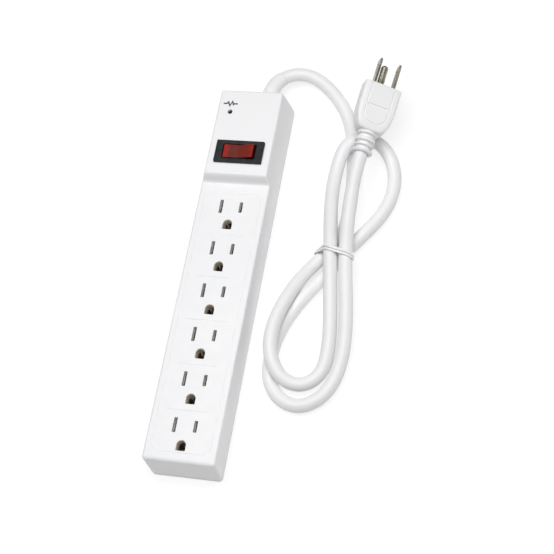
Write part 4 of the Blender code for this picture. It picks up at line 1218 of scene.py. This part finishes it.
def build_ground_pin():
    radius = GROUND_PIN_RADIUS
    profile = dome(radius, GROUND_PIN_LENGTH - GROUND_PIN_DOME, GROUND_PIN_DOME)
    profile += [(radius, 6), (radius, -PIN_ROOT), (0.01, -PIN_ROOT)]
    body = turned(bmesh.new(), profile, 48)
    axis = plug_axis_matrix(GROUND_PIN_Z)
    pin = place("plug_ground_pin_finished", body, LOOKS["blade_metal"], axis)
    smooth(pin, 40)
    return settle(pin, "plug_ground_pin")


def strands_at(dense, y):
    """Where the cord crosses the tie's slanted plane: (x, z, sideways slope) of each strand."""
    beyond = dense[:, 1] - y + TIE_SLANT * (dense[:, 0] - TIE_X)
    found = []
    for i in np.nonzero(beyond[:-1] * beyond[1:] <= 0)[0]:
        run = dense[i + 1] - dense[i]
        found.append((dense[i][0], dense[i][2], run[0] / run[1]))
    return found


def tie_point(strands, angle, clear):
    """The outermost point of the bundle's outline in one direction."""
    cosine = math.cos(angle)
    sine = math.sin(angle)
    found = []
    for x, z, slope in strands:
        wide = clear * math.sqrt(1 + slope * slope)
        reach = math.hypot(wide * cosine, clear * sine)
        point = Vector((x + wide * wide * cosine / reach, 0, z + clear * clear * sine / reach))
        found.append((x * cosine + z * sine + reach, point))
    return max(found, key=lambda entry: entry[0])[1]


def build_tie(dense):
    """A coated twist tie: a ribbon of oval section, two turns round the strands."""
    route = dense / MM
    half = TIE_WIDTH / 2
    thin = TIE_THICKNESS / 2
    clear = CORD_RADIUS + TIE_GAP + thin
    section = [(-half * a, -thin * b) for a, b in arc((0, 0), 1.0, 0, 360, TIE_SIDES)[:-1]]
    rings = []
    for i in range(TIE_TURNS * TIE_STEPS + 1):
        y = TIE_Y + TIE_PITCH * (i / TIE_STEPS - TIE_TURNS / 2)
        angle = 2 * math.pi * (i + 0.5) / TIE_STEPS
        outward = Vector((math.cos(angle), 0, math.sin(angle)))
        ring = []
        for across, out in section:
            strands = strands_at(route, y + across)
            point = tie_point(strands, angle, clear) + outward * out
            point.y = y + across - TIE_SLANT * (point.x - TIE_X)
            point.z = max(point.z, TIE_LOWEST)
            ring.append(point)
        rings.append(ring)
    tie = place("cord_tie_ribbon", loft(rings), LOOKS["tie_plastic"])
    smooth(tie, 60)
    return settle(tie, "cord_tie")


# ------ stage

def build_camera():
    """A view from above the near right: azimuth 33.5, elevation 62.4, rolled by -25.9 degrees."""
    target = Matrix.Translation((0.03065, 0.00627, 0.0))
    turn = (
        Matrix.Rotation(math.radians(33.501), 4, "Z")
        @ Matrix.Rotation(math.radians(90 - 62.407), 4, "X")
        @ Matrix.Rotation(math.radians(-25.926), 4, "Z")
    )
    away = Matrix.Translation((0, 0, 0.87918))
    data = bpy.data.cameras.new("camera")
    data.lens = 92.105
    data.sensor_width = 36.0
    data.clip_start = 0.01
    data.clip_end = 20.0
    camera = link(bpy.data.objects.new("camera", data))
    camera.matrix_world = target @ turn @ away
    bpy.context.scene.camera = camera


def add_light(name, location, target, size, power):
    data = bpy.data.lights.new(name, "AREA")
    data.shape = "RECTANGLE"
    data.size, data.size_y = size
    data.energy = power
    lamp = link(bpy.data.objects.new(name, data))
    lamp.location = location
    aim = Vector(target) - Vector(location)
    lamp.rotation_euler = aim.to_track_quat("-Z", "Y").to_euler()


def build_stage():
    mesh = bmesh.new()
    bmesh.ops.create_grid(mesh, x_segments=1, y_segments=1, size=4000.0)
    floor = place("floor", mesh, LOOKS["floor_paper"])
    world = bpy.data.worlds.new("studio")
    world.use_nodes = True
    background = world.node_tree.nodes["Background"]
    background.inputs["Color"].default_value = (1.0, 1.0, 1.0, 1.0)
    background.inputs["Strength"].default_value = 0.10
    bpy.context.scene.world = world
    bpy.context.scene.view_settings.view_transform = "Standard"
    add_light("overhead", (0.05, 0.08, 1.4), (0.03, 0.0, 0.0), (1.5, 1.1), 23.3)
    add_light("right_fill", (1.5, 0.3, 0.6), (0.0, 0.0, 0.0), (0.8, 0.8), 1.5)


# ------ assembly

build_camera()
dense, along = smooth_path(ROUTE)
cord, cord_points = build_cord(dense, along)
sleeve = build_cord_relief(dense, along)
plug_pieces = [
    build_plug_body(), build_plug_relief(), build_blade("neutral", -1), build_blade("hot", 1),
    build_ground_pin(),
]
tie = build_tie(dense)
dress_carried_nodes()
build_top_cover()
for number, outlet_y in enumerate(OUTLET_YS, 1):
    build_ground_sleeve(number, outlet_y)
build_base_cover()
build_screws()
build_bezel()
build_rocker()
build_indicator()
build_mark()
build_stage()
